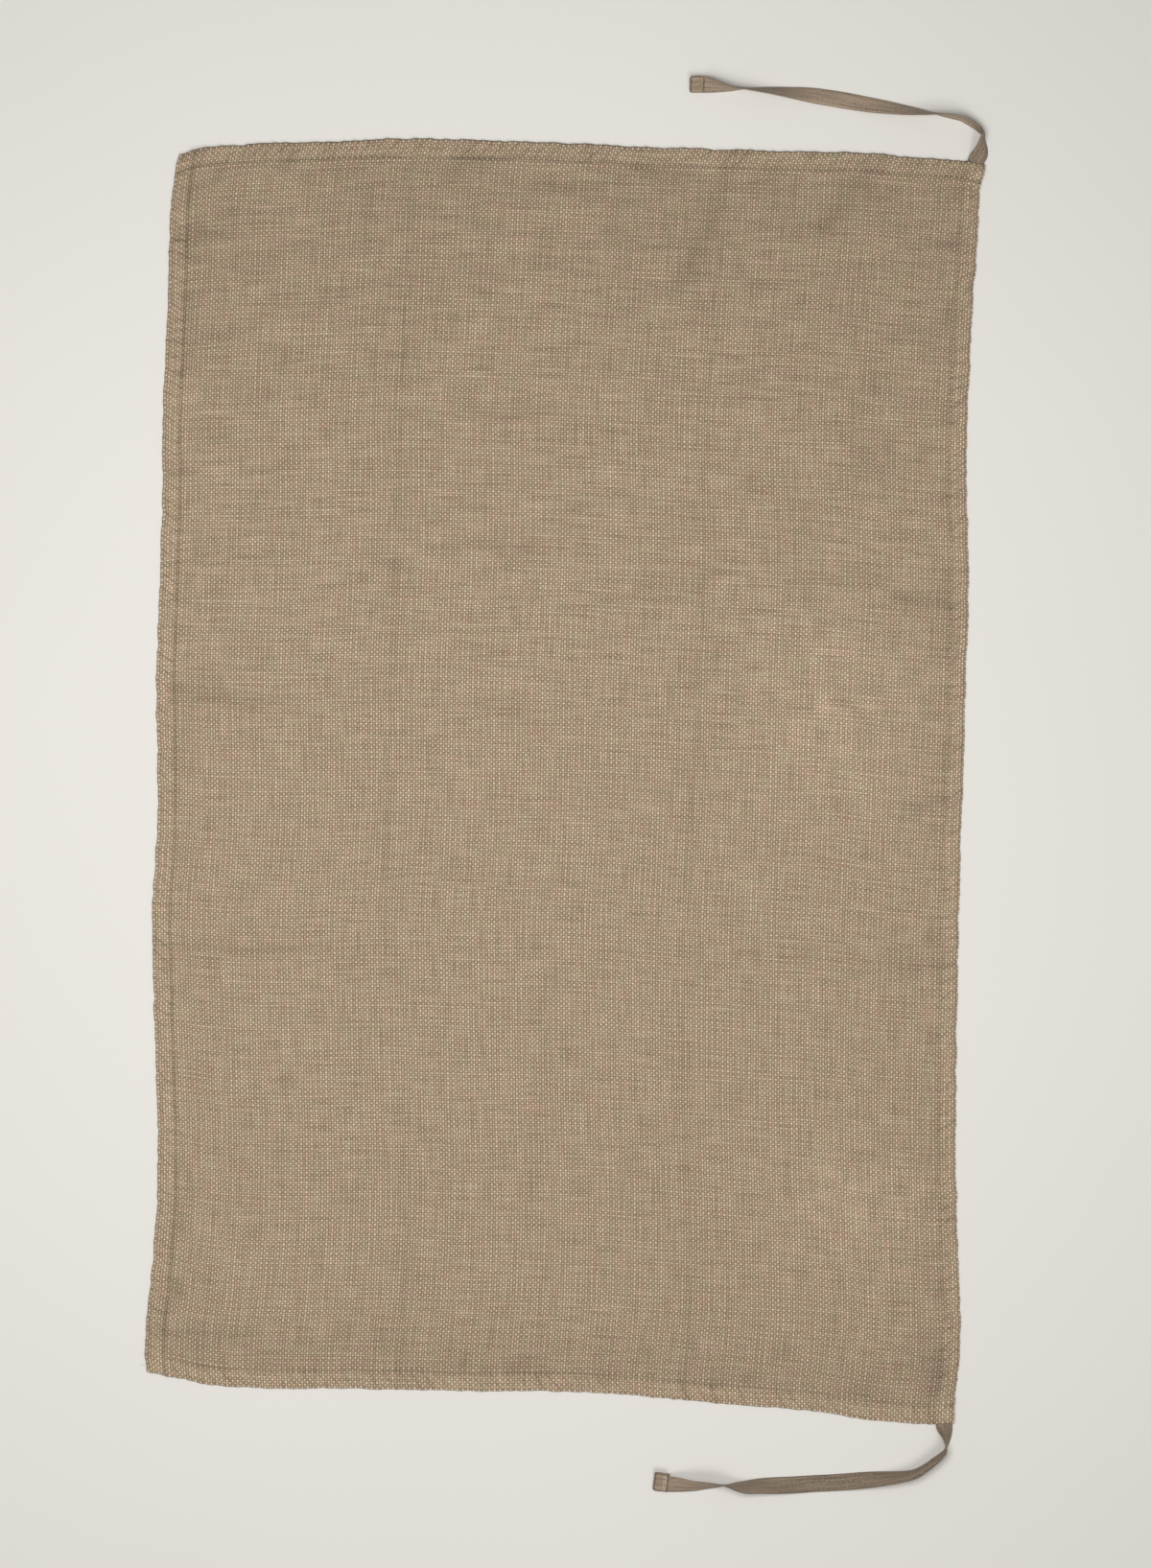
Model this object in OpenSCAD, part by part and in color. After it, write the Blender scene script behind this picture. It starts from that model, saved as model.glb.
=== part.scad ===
// Waist apron of thick linen with two narrow twill-tape ties, laid flat, front up.
// The waist edge runs along +X, the lower edge along -X, and z = 0 is the table.
// Left and right are as seen from the front with the waist edge at the top:
// the left side lies along +Y and the right side along -Y.

/* [Cloth] */
// Depth of the sewn apron, from its waist edge to its lower edge
apron_depth = 575; // [500:5:650]
// Width of the sewn apron, along its waist edge
apron_width = 900; // [800:10:1000]
// Thickness of one layer of the cloth
cloth_t = 0.8; // [0.6:0.1:1.0]

/* [Hems] */
// Width of the double-turned hem along every edge
hem_w = 13.5; // [13.5:0.5:15]
// Distance of the hem's stitching from the folded edge
seam_inset = 12.3; // [10:0.1:12.3]
// Width of the stitching thread as it lies on the cloth
thread_w = 0.6; // [0.4:0.1:0.8]
// Height of the stitching thread above the cloth
thread_h = 0.25; // [0.2:0.05:0.4]

/* [Ties] */
// Width of the twill tape
tape_w = 12; // [10:0.5:12.5]
// Thickness of the twill tape
tape_t = 0.7; // [0.6:0.05:0.75]
// Length of the turned end of each tie
turn_l = 9.5; // [8:0.5:11]
// Clear gap between a tie and its sewn root, either side of the bend
bend_gap = 0.6; // [0.5:0.1:1.0]

/* [Hidden] */

linen = [0.64, 0.57, 0.48];
linen_turned = [0.58, 0.51, 0.43];
tape_colour = [0.56, 0.49, 0.42];
thread_colour = [0.72, 0.65, 0.54];

// Two turned layers lie under the cloth along the edges.
hem_t = 2 * cloth_t;
front_z = hem_t + cloth_t;
fit_gap = 0.05;

// Where the four corners of the cloth lie on the table.
corner_lower_left = [-277.5, 450] + grow([-1, 1]);
corner_waist_left = [301.5, 443] + grow([1, 1]);
corner_lower_right = [-300.5, -424] + grow([-1, -1]);
corner_waist_right = [278.5, -460] + grow([1, -1]);

// How each edge wanders from the straight line between its corners, as the
// cloth was laid by hand: percent of the way along, and millimetres sideways.
left_edge = [
    [0, 0], [2, 4], [7.5, 8], [18, 10.8], [29, 13.5], [43, 12.5], [61, 9.3],
    [75, 7.9], [86, 7], [90, 5.2], [93.5, 4], [98, 2.3], [100, 0]
];
right_edge = [
    [0, 0], [3, -2], [8, -6.2], [15, -6.1], [29, -1.4], [40, 0.9], [51, 4.8],
    [58, 5.3], [65, 4.4], [76, 2.8], [83, 1.8], [89, -1.7], [94, -2.6], [97.5, -2.4], [100, 0]
];
lower_edge = [
    [0, 0], [3, -2], [6, 0.5], [13, 4.1], [19, 3.7], [22, 2.4], [32, -2.3],
    [38, -4.7], [44, -2.7], [49, -3.2], [57, -6], [63, -5.5], [72.5, -5.2],
    [77, -6.3], [82, -5.9], [90, -4.7], [95, -4.8], [98, -3], [100, 0]
];
waist_edge = [
    [0, 0], [1.5, 0.3], [3, 1.8], [7, 3], [13, 0], [22, -4], [31, -5.2],
    [42, -5.8], [53, -5.2], [62, -4.8], [67, -4.8], [77, -8.8], [84, -8.2],
    [90, -6.5], [95.5, -4], [98.5, -3.2], [100, 0]
];

// The route of each tie from its tail in the hem to its end: place on the table,
// degrees turned about its own length, and height above touching the table.
left_root_route = [
    [290.9, 431, 0, 0.85], [293.8, 441, 0, 0.85], [295.6, 447.5, 0, 0.85],
    [298.3, 451.8, 20, 0.5], [299.5, 456, 43, 0.2], [300, 461, 68, 0]
];
left_bend = [300, 465.5, 90, 0];
left_tie_route = [
    [298, 468.4, 100, 0], [294.3, 471.5, 101, 0], [290.3, 473.9, 101, 0], [284, 476.9, 98, 0],
    [277.3, 478.1, 95, 0], [271, 478.9, 88, 0], [264, 479.9, 75, 0], [256.5, 480.9, 62, 0],
    [242, 482.6, 42, 0], [221, 485.9, 18, 0], [200, 489.8, 4, 0], [179.5, 492.9, 12, 0],
    [159, 495.2, 42, 0], [141, 497, 63, 0], [130, 497.7, 76, 0], [122, 498.1, 90, 0],
    [115, 498.7, 106, 0], [107, 499.8, 130, 0], [101, 500.9, 160, 0.3], [90, 501.2, 160, 0.3]
];
right_root_route = [
    [272.1, -448, 0, 0.85], [271.8, -458, 0, 0.85], [272.1, -463.2, 0, 0.85],
    [273.3, -468, -42, 0.3], [273.5, -474, -68, 0]
];
right_bend = [272.4, -480, -90, 0];
right_tie_route = [
    [269.3, -483.2, -97, 0], [265.2, -486.2, -100, 0], [258.2, -491.5, -104, 0], [250.8, -495.8, -112, 0],
    [238.6, -498.8, -126, 0], [226.5, -500.5, -143, 0], [214, -502.1, -160, 0], [195, -504, -174, 0],
    [177, -505, -177, 0], [159, -505.8, -166, 0], [148, -505.9, -156, 0], [138, -505.8, -144, 0],
    [129, -506, -130, 0], [122, -505.4, -110, 0], [117, -505.1, -90, 0], [110.5, -505.1, -72, 0],
    [103, -505.2, -60, 0], [92, -505.8, -44, 0], [82, -505.4, -24, 0], [74.5, -505, -10, 0.3],
    [64, -503.6, -10, 0.3]
];

// Places along the depth and the width at which the outlines have their corners.
depth_steps = 24;
width_steps = 36;
depth_stations = stations(apron_depth, depth_steps);
width_stations = stations(apron_width, width_steps);
// Straight steps between two points of a tie's route.
route_steps = 2;

// How far a corner moves when the apron is made larger than its first size.
function grow(side) = [
    side[0] * (apron_depth - 575) / 2,
    side[1] * (apron_width - 900) / 2
];

function stations(length, steps) = concat(
    [0], [for (i = [0:steps]) hem_w + (length - 2 * hem_w) * i / steps], [length]
);

// The stations from a to b, with both ends.
function between(list, a, b) = concat([a], [for (x = list) if (x > a && x < b) x], [b]);

function mix(a, b, f) = a + (b - a) * f;

// A smooth curve through the rows [place, value] of a table, read at x.
function row_at(table, x, i = 0) =
    (i >= len(table) - 2 || x <= table[i + 1][0]) ? i : row_at(table, x, i + 1);
function steepness(table, i) =
    let (a = table[max(i - 1, 0)], b = table[min(i + 1, len(table) - 1)])
    (b[1] - a[1]) / (b[0] - a[0]);
function curve(table, x) =
    let (
        i = row_at(table, x),
        step = table[i + 1][0] - table[i][0],
        f = (x - table[i][0]) / step
    )
    (1 + 2 * f) * pow(1 - f, 2) * table[i][1]
    + f * pow(1 - f, 2) * step * steepness(table, i)
    + f * f * (3 - 2 * f) * table[i + 1][1]
    - f * f * (1 - f) * step * steepness(table, i + 1);

// Where a point of the sewn cloth lies on the table: s is its distance from the
// lower edge and t its distance from the right side.
function lay(s, t) =
    let (
        u = s / apron_depth,
        v = t / apron_width,
        right_line = mix(corner_lower_right, corner_waist_right, u),
        left_line = mix(corner_lower_left, corner_waist_left, u)
    )
    mix(right_line, left_line, v) + [
        mix(curve(lower_edge, 100 * v), curve(waist_edge, 100 * v), u),
        mix(curve(right_edge, 100 * u), curve(left_edge, 100 * u), v)
    ];

// The laid outline of the cloth between two depths and two widths.
function patch(s0, s1, t0, t1) = concat(
    [for (s = between(depth_stations, s0, s1)) if (s < s1) lay(s, t0)],
    [for (t = between(width_stations, t0, t1)) if (t < t1) lay(s1, t)],
    [for (s = reversed(between(depth_stations, s0, s1))) if (s > s0) lay(s, t1)],
    [for (t = reversed(between(width_stations, t0, t1))) if (t > t0) lay(s0, t)]
);
function inset_patch(d) = patch(d, apron_depth - d, d, apron_width - d);
function reversed(list) = [for (i = [len(list) - 1:-1:0]) list[i]];

// Height of a tape's middle when its lower edge touches the table.
function resting_z(turn) = tape_w / 2 * abs(sin(turn)) + tape_t / 2 * abs(cos(turn));
function unit(v) = v / norm(v);
function flat_dir(a, b) = unit([b[0] - a[0], b[1] - a[1]]);

// One point between route[i] and route[i + 1]: its place follows a smooth curve,
// and its turn and its height change evenly.
function route_point(route, i, f) =
    let (
        a = route[max(i - 1, 0)], b = route[i],
        c = route[i + 1], d = route[min(i + 2, len(route) - 1)],
        p = 0.5 * (2 * b + (c - a) * f + (2 * a - 5 * b + 4 * c - d) * f * f
            + (3 * b - a - 3 * c + d) * f * f * f)
    )
    [p[0], p[1], mix(b[2], c[2], f), mix(b[3], c[3], f)];
function smooth_route(route) = concat(
    [for (i = [0:len(route) - 2], k = [0:route_steps - 1]) route_point(route, i, k / route_steps)],
    [route[len(route) - 1]]
);

// The eight corners of a tape's section at point i of a route: the section is
// half_w each side of the middle, and reaches from low to high through it.
function section(route, i, half_w, low, high) =
    let (
        p = route[i],
        way = flat_dir(route[max(i - 1, 0)], route[min(i + 1, len(route) - 1)]),
        left = [-way[1], way[0], 0],
        across = left * cos(p[2]) + [0, 0, sin(p[2])],
        out = [0, 0, cos(p[2])] - left * sin(p[2]),
        middle = [p[0], p[1], resting_z(p[2]) + p[3]],
        half_t = (low + high) / 2
    )
    [for (c = [[-1, low], [0, low], [1, low], [1, half_t], [1, high], [0, high], [-1, high], [-1, half_t]])
        middle + across * c[0] * half_w + out * c[1]];

// A flat tape swept along a route.
module tape(route, half_w = tape_w / 2, low = -tape_t / 2, high = tape_t / 2) {
    last = len(route) - 1;
    points = [for (i = [0:last]) each section(route, i, half_w, low, high)];
    sides = [
        for (i = [0:last - 1], k = [0:7])
            let (a = 8 * i + k, b = 8 * i + (k + 1) % 8)
            each [[a, b + 8, b], [a, a + 8, b + 8]]
    ];
    first_cap = [[0, 1, 7], [1, 6, 7], [1, 5, 6], [1, 2, 5], [2, 3, 5], [3, 4, 5]];
    last_cap = [for (f = first_cap) [f[2], f[1], f[0]] + [8, 8, 8] * last];
    polyhedron(points = points, faces = concat(sides, first_cap, last_cap));
}

// A slab of the given outline from z0 up to z1.
module slab(outline, z0, z1) {
    translate([0, 0, z0]) linear_extrude(z1 - z0) polygon(outline);
}

// Outline of a straight strip from a to b.
function strip(a, b, half_w) =
    let (way = flat_dir(a, b), side = [-way[1], way[0]] * half_w)
    [a - side, b - side, b + side, a + side];

// The pocket in the waist hem that holds the tail of a tie.
module tail_pocket(root_route) {
    start = [root_route[0][0], root_route[0][1]];
    way = flat_dir(root_route[0], root_route[1]);
    slab(
        strip(start - way * 0.3, start + way * 25, tape_w / 2 + 0.2),
        hem_t - tape_t - 2 * fit_gap, hem_t + 1
    );
}

// The cloth: level inside the hems, and raised over them along the edges.
module apron_panel() {
    color(linen) difference() {
        slab(inset_patch(0), 0, front_z);
        translate([0, 0, -1]) linear_extrude(hem_t + 1) difference() {
            polygon(inset_patch(-1));
            polygon(inset_patch(hem_w));
        }
        slab(inset_patch(hem_w + cloth_t), cloth_t, front_z + 1);
    }
}

module waist_hem() {
    color(linen_turned) difference() {
        slab(patch(apron_depth - hem_w, apron_depth, 0, apron_width), 0, hem_t);
        tail_pocket(left_root_route);
        tail_pocket(right_root_route);
    }
}

module lower_hem() {
    color(linen_turned) slab(patch(0, hem_w, 0, apron_width), 0, hem_t);
}

module left_hem() {
    color(linen_turned)
    slab(patch(hem_w, apron_depth - hem_w, apron_width - hem_w, apron_width), 0, hem_t);
}

module right_hem() {
    color(linen_turned) slab(patch(hem_w, apron_depth - hem_w, 0, hem_w), 0, hem_t);
}

// A row of stitching on the front of the cloth, as one low line of thread.
module thread_row(outline) {
    color(thread_colour) slab(outline, front_z, front_z + thread_h);
}

seam_out = seam_inset - thread_w / 2;
seam_in = seam_inset + thread_w / 2;

module waist_hem_stitching() {
    thread_row(patch(apron_depth - seam_in, apron_depth - seam_out, 0, apron_width));
}

module lower_hem_stitching() {
    thread_row(patch(seam_out, seam_in, 0, apron_width));
}

// The side rows run between the waist row and the lower row.
side_row_start = seam_in + 0.2;

module left_hem_stitching() {
    thread_row(patch(
        side_row_start, apron_depth - side_row_start,
        apron_width - seam_in, apron_width - seam_out
    ));
}

module right_hem_stitching() {
    thread_row(patch(side_row_start, apron_depth - side_row_start, seam_out, seam_in));
}

// The sewn root of a tie: its tail in the hem and the stretch up to the bend.
module tie_root(root_route, bend, tie_route) {
    way = flat_dir(root_route[len(root_route) - 1], tie_route[0]);
    stop = [bend[0] - way[0] * bend_gap, bend[1] - way[1] * bend_gap, bend[2], bend[3]];
    color(tape_colour) tape(smooth_route(concat(root_route, [stop])));
}

// The free length of a tie, from the bend to its end.
module free_tie(root_route, bend, tie_route) {
    way = flat_dir(root_route[len(root_route) - 1], tie_route[0]);
    start = [bend[0] + way[0] * bend_gap, bend[1] + way[1] * bend_gap, bend[2], bend[3]];
    last = len(tie_route) - 1;
    level = [for (i = [0:last - 1]) tie_route[i]];
    color(tape_colour) tape(concat(smooth_route(concat([start], level)), [tie_route[last]]));
}

// The straight stretch of a tie between two distances back from its end.
function end_stretch(tie_route, far, near) =
    let (
        end = tie_route[len(tie_route) - 1],
        back = flat_dir(end, tie_route[len(tie_route) - 2])
    )
    [for (d = [far, near]) [end[0] + back[0] * d, end[1] + back[1] * d, end[2], end[3]]];
function upper_face(tie_route) = cos(tie_route[len(tie_route) - 1][2]) > 0 ? 1 : -1;

// A flat layer over that stretch, on the face of the tape that looks up.
module layer_on_end(tie_route, far, near, half_w, above, thick) {
    side = upper_face(tie_route);
    foot = side * (tape_t / 2 + above);
    top = side * (tape_t / 2 + above + thick);
    tape(end_stretch(tie_route, far, near), half_w, min(foot, top), max(foot, top));
}

module turned_end(tie_route) {
    color(tape_colour) layer_on_end(tie_route, turn_l, 0, tape_w / 2, fit_gap, tape_t);
}

// Two rows of stitches across the turned end.
module end_stitching(tie_route) {
    color(thread_colour)
    for (row = [1.6, 3.2]) {
        layer_on_end(
            tie_route, turn_l - row + thread_w, turn_l - row,
            tape_w / 2 - 1, 2 * fit_gap + tape_t, thread_h
        );
    }
}

// A short row of stitches on the front that holds a tie's tail in the hem.
module tie_tack(root_route) {
    way = flat_dir(root_route[0], root_route[1]);
    side = [-way[1], way[0]] * (tape_w / 2 - 2);
    tail = [root_route[0][0], root_route[0][1]];
    for (along = [8, 10.5]) {
        thread_row(strip(tail + way * along - side, tail + way * along + side, thread_w / 2));
    }
}

module left_tie_root() { tie_root(left_root_route, left_bend, left_tie_route); }
module right_tie_root() { tie_root(right_root_route, right_bend, right_tie_route); }
module left_tie_tack() { tie_tack(left_root_route); }
module right_tie_tack() { tie_tack(right_root_route); }
module left_tie() { free_tie(left_root_route, left_bend, left_tie_route); }
module right_tie() { free_tie(right_root_route, right_bend, right_tie_route); }
module left_tie_turned_end() { turned_end(left_tie_route); }
module right_tie_turned_end() { turned_end(right_tie_route); }
module left_tie_end_stitching() { end_stitching(left_tie_route); }
module right_tie_end_stitching() { end_stitching(right_tie_route); }

apron_panel();
waist_hem();
lower_hem();
left_hem();
right_hem();
waist_hem_stitching();
lower_hem_stitching();
left_hem_stitching();
right_hem_stitching();
left_tie_root();
right_tie_root();
left_tie_tack();
right_tie_tack();
left_tie();
right_tie();
left_tie_turned_end();
right_tie_turned_end();
left_tie_end_stitching();
right_tie_end_stitching();
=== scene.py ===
"""Waist apron of thick natural linen with two twill-tape ties, laid flat on a pale table."""

import logging
import math
from collections.abc import Callable
from dataclasses import dataclass
from enum import Enum
from functools import partial

import bpy
import numpy as np
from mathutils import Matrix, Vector, noise


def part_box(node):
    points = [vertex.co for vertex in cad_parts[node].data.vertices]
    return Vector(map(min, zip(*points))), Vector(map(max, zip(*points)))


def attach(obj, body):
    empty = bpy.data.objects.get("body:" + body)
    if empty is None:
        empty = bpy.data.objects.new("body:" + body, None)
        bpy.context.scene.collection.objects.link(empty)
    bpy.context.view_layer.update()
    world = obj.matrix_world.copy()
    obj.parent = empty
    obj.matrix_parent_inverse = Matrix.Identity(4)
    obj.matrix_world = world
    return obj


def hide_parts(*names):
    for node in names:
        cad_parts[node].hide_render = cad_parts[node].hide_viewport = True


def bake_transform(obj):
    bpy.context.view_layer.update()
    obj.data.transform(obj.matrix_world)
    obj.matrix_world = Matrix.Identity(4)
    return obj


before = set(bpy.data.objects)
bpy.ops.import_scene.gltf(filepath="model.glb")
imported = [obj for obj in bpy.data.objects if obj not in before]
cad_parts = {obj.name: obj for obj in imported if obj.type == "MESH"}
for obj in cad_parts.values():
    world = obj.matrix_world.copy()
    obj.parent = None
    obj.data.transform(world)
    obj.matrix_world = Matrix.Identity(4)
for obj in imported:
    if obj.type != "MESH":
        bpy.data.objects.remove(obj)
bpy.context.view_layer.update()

MM = 0.001
LOG = logging.getLogger("apron")

# The sewn apron, in millimetres.
DEPTH = 575.0  # from the lower edge up to the waist
WIDTH = 900.0  # from the right side to the left
CLOTH_T = 0.8
HEM_W = 13.5
SEAM_INSET = 12.3  # from each edge in to its row of stitches
STITCH_PITCH = 4.0

# Settings that the shader nodes share.
PLUS = {"operation": "MULTIPLY_ADD"}
LESS = {"operation": "SUBTRACT"}
TIMES = {"operation": "MULTIPLY"}
POWER = {"operation": "POWER"}
MOST = {"operation": "MAXIMUM"}
SINE = {"operation": "SINE"}
UNSIGNED = {"operation": "ABSOLUTE"}
SMOOTH = {"interpolation_type": "SMOOTHSTEP"}
DARKEN = {"data_type": "RGBA", "blend_type": "MULTIPLY", 0: 1.0}


class Side(Enum):
    """The four edges of the apron, as seen from the front with the waist at the top."""

    WAIST = "waist"
    LOWER = "lower"
    LEFT = "left"
    RIGHT = "right"


class Face(Enum):
    """The two faces of the cloth."""

    FRONT = "front"
    BACK = "back"


# ---------------------------------------------------------------- small helpers


def linear(hex_colour: str) -> tuple[float, float, float, float]:
    """Turns an sRGB hex colour into the linear colour that a shader socket holds.

    Args:
        hex_colour: Six hex digits, such as "a4927c".

    Returns:
        Red, green, blue and alpha.
    """
    channels = [int(hex_colour[i : i + 2], 16) / 255 for i in (0, 2, 4)]
    red, green, blue = (c / 12.92 if c <= 0.04045 else ((c + 0.055) / 1.055) ** 2.4 for c in channels)
    return (red, green, blue, 1.0)


def add_node(tree: bpy.types.NodeTree, kind: str, settings: dict | None = None, *inputs) -> bpy.types.Node:
    """Adds one shader node with its settings and the links into it.

    Args:
        tree: The material's node tree.
        kind: The node's type name, without "ShaderNode".
        settings: Attributes, or input sockets by name or index, and the value of each. The
            value of "stops" is the place and the hex colour of each stop of a colour ramp.
        inputs: The first input sockets' values in order. A value may be a number, a socket
            that feeds the input, or a node, which stands for its first output.

    Returns:
        The new node.
    """
    made = tree.nodes.new("ShaderNode" + kind)
    for key, value in {**(settings or {}), **dict(enumerate(inputs))}.items():
        source = value.outputs[0] if isinstance(value, bpy.types.Node) else value
        if isinstance(source, bpy.types.NodeSocket):
            tree.links.new(source, made.inputs[key])
        elif key == "stops":
            stops = made.color_ramp.elements
            stops.remove(stops[1])
            stops[0].position, stops[0].color = source[0][0], linear(source[0][1])
            for place, hex_colour in source[1:]:
                stops.new(place).color = linear(hex_colour)
        elif isinstance(key, str) and hasattr(made, key):
            setattr(made, key, source)
        else:
            made.inputs[key].default_value = source
    return made


def new_material(name: str, look: dict[str, float]) -> tuple[bpy.types.Material, Callable, Callable]:
    """Makes a node material.

    Args:
        name: The material's name.
        look: Values of the Principled shader's inputs.

    Returns:
        The material, a function that adds a node to it, and one that links a socket to an
        input of its Principled shader.
    """
    material = bpy.data.materials.new(name)
    material.use_nodes = True
    tree = material.node_tree
    inputs = tree.nodes["Principled BSDF"].inputs
    for key, value in look.items():
        inputs[key].default_value = value
    return material, partial(add_node, tree), lambda key, source: tree.links.new(source, inputs[key])


def smoothstep(low: float, high: float, x: np.ndarray) -> np.ndarray:
    """A smooth rise from 0 at low to 1 at high."""
    f = np.clip((x - low) / (high - low), 0, 1)
    return f * f * (3 - 2 * f)


def smooth_curve(knots: np.ndarray, values: np.ndarray, x: np.ndarray) -> np.ndarray:
    """Reads a smooth curve through points.

    Args:
        knots: Rising places of the points.
        values: The points, one row each.
        x: Places at which to read the curve.

    Returns:
        One row for each place in x.
    """
    slopes = np.gradient(values, knots, axis=0)
    i = np.clip(np.searchsorted(knots, x, side="right") - 1, 0, len(knots) - 2)
    step = knots[i + 1] - knots[i]
    f = ((x - knots[i]) / step)[:, None]
    step = step[:, None]
    return (
        (1 + 2 * f) * (1 - f) ** 2 * values[i]
        + f * (1 - f) ** 2 * step * slopes[i]
        + f * f * (3 - 2 * f) * values[i + 1]
        - f * f * (1 - f) * step * slopes[i + 1]
    )


def cloth_noise(a: np.ndarray, b: np.ndarray, seed: float, octaves: int = 3) -> np.ndarray:
    """Smooth noise over two coordinates, the same on each run.

    Args:
        a: First coordinate, in noise cells.
        b: Second coordinate, in noise cells.
        seed: Picks one layer of the noise.
        octaves: How many finer layers are added.

    Returns:
        Values of about -1 to 1, in the shape of a.
    """
    flat = [
        noise.fractal(Vector((x, y, seed)), 1.0, 2.0, octaves)
        for x, y in zip(np.ravel(a).tolist(), np.ravel(b).tolist())
    ]
    return np.array(flat).reshape(np.shape(a))


def line_noise(along: np.ndarray, cell: float, *seeds: float) -> np.ndarray:
    """Smooth noise of -1 to 1 at distances along a line, in cells of one length."""
    return np.array([noise.noise(Vector((a / cell, *seeds))) for a in along.tolist()])


def mesh_piece(name: str, points: np.ndarray, faces: list, material: bpy.types.Material) -> bpy.types.Object:
    """Makes a mesh object from points and faces.

    Args:
        name: The piece's name.
        points: One row of x, y, z for each point, in metres.
        faces: Lists of point numbers.
        material: The piece's finish.

    Returns:
        The new object, smooth shaded.
    """
    mesh = bpy.data.meshes.new(name)
    mesh.from_pydata(np.asarray(points).tolist(), [], faces)
    mesh.update()
    mesh.materials.append(material)
    mesh.shade_smooth()
    piece = bpy.data.objects.new(name, mesh)
    bpy.context.scene.collection.objects.link(piece)
    return piece


def set_uv(piece: bpy.types.Object, name: str, per_point: np.ndarray) -> None:
    """Gives a piece a UV map from two numbers at each of its points.

    Args:
        piece: The mesh object.
        name: The map's name.
        per_point: One row of two numbers for each point.
    """
    layer = piece.data.uv_layers.new(name=name)
    corner = np.empty(len(piece.data.loops), dtype=np.int32)
    piece.data.loops.foreach_get("vertex_index", corner)
    layer.data.foreach_set("uv", per_point[corner].astype(np.float32).ravel())


def make_active(piece: bpy.types.Object) -> None:
    """Selects one object alone, and makes it active.

    Args:
        piece: The object.
    """
    for other in bpy.context.selected_objects:
        other.select_set(False)
    piece.select_set(True)
    bpy.context.view_layer.objects.active = piece


def apply_modifiers(piece: bpy.types.Object) -> None:
    """Applies a piece's modifiers in order.

    Args:
        piece: The piece.
    """
    make_active(piece)
    for modifier in list(piece.modifiers):
        bpy.ops.object.modifier_apply(modifier=modifier.name)


def grid_faces(rows: int, columns: int, closed: bool = False) -> list[tuple[int, int, int, int]]:
    """Quads between the points of a grid.

    Args:
        rows: Number of rows of points.
        columns: Number of points in each row.
        closed: Whether the last column joins the first.

    Returns:
        One tuple of four point numbers for each quad.
    """
    steps = [(c, (c + 1) % columns) for c in range(columns if closed else columns - 1)]
    starts = [r * columns for r in range(rows - 1)]
    return [(a + c, a + d, a + columns + d, a + columns + c) for a in starts for c, d in steps]


def tube_piece(name: str, rings: np.ndarray, material: bpy.types.Material) -> bpy.types.Object:
    """Makes a closed tube through rings of points.

    Args:
        name: The piece's name.
        rings: The points in metres, by ring and place round the ring.
        material: The piece's finish.

    Returns:
        The new object, smooth shaded, with its faces turned outward.
    """
    count, columns = rings.shape[:2]
    first = list(range(columns))
    faces = grid_faces(count, columns, closed=True)
    faces += [first[::-1], [(count - 1) * columns + i for i in first]]
    piece = mesh_piece(name, rings.reshape(-1, 3), faces, material)
    make_active(piece)
    bpy.ops.object.mode_set(mode="EDIT")
    bpy.ops.mesh.select_all(action="SELECT")
    bpy.ops.mesh.normals_make_consistent(inside=False)
    bpy.ops.object.mode_set(mode="OBJECT")
    return piece


def flat_section(half: float, edge: float, thick: float) -> np.ndarray:
    """The outline of a flat tape's section.

    Args:
        half: Distance from the middle to a selvedge.
        edge: Distance from the middle to where the selvedge begins to round.
        thick: Half the thickness.

    Returns:
        Rows of the distance across and out.
    """
    x = np.linspace(-edge, edge, 7)
    faces = [[(a, -thick) for a in x], [(a, thick) for a in x[::-1]]]
    return np.array([(-half, 0), *faces[0], (half, 0), *faces[1]])


# ---------------------------------------------------------------- finishes


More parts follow.
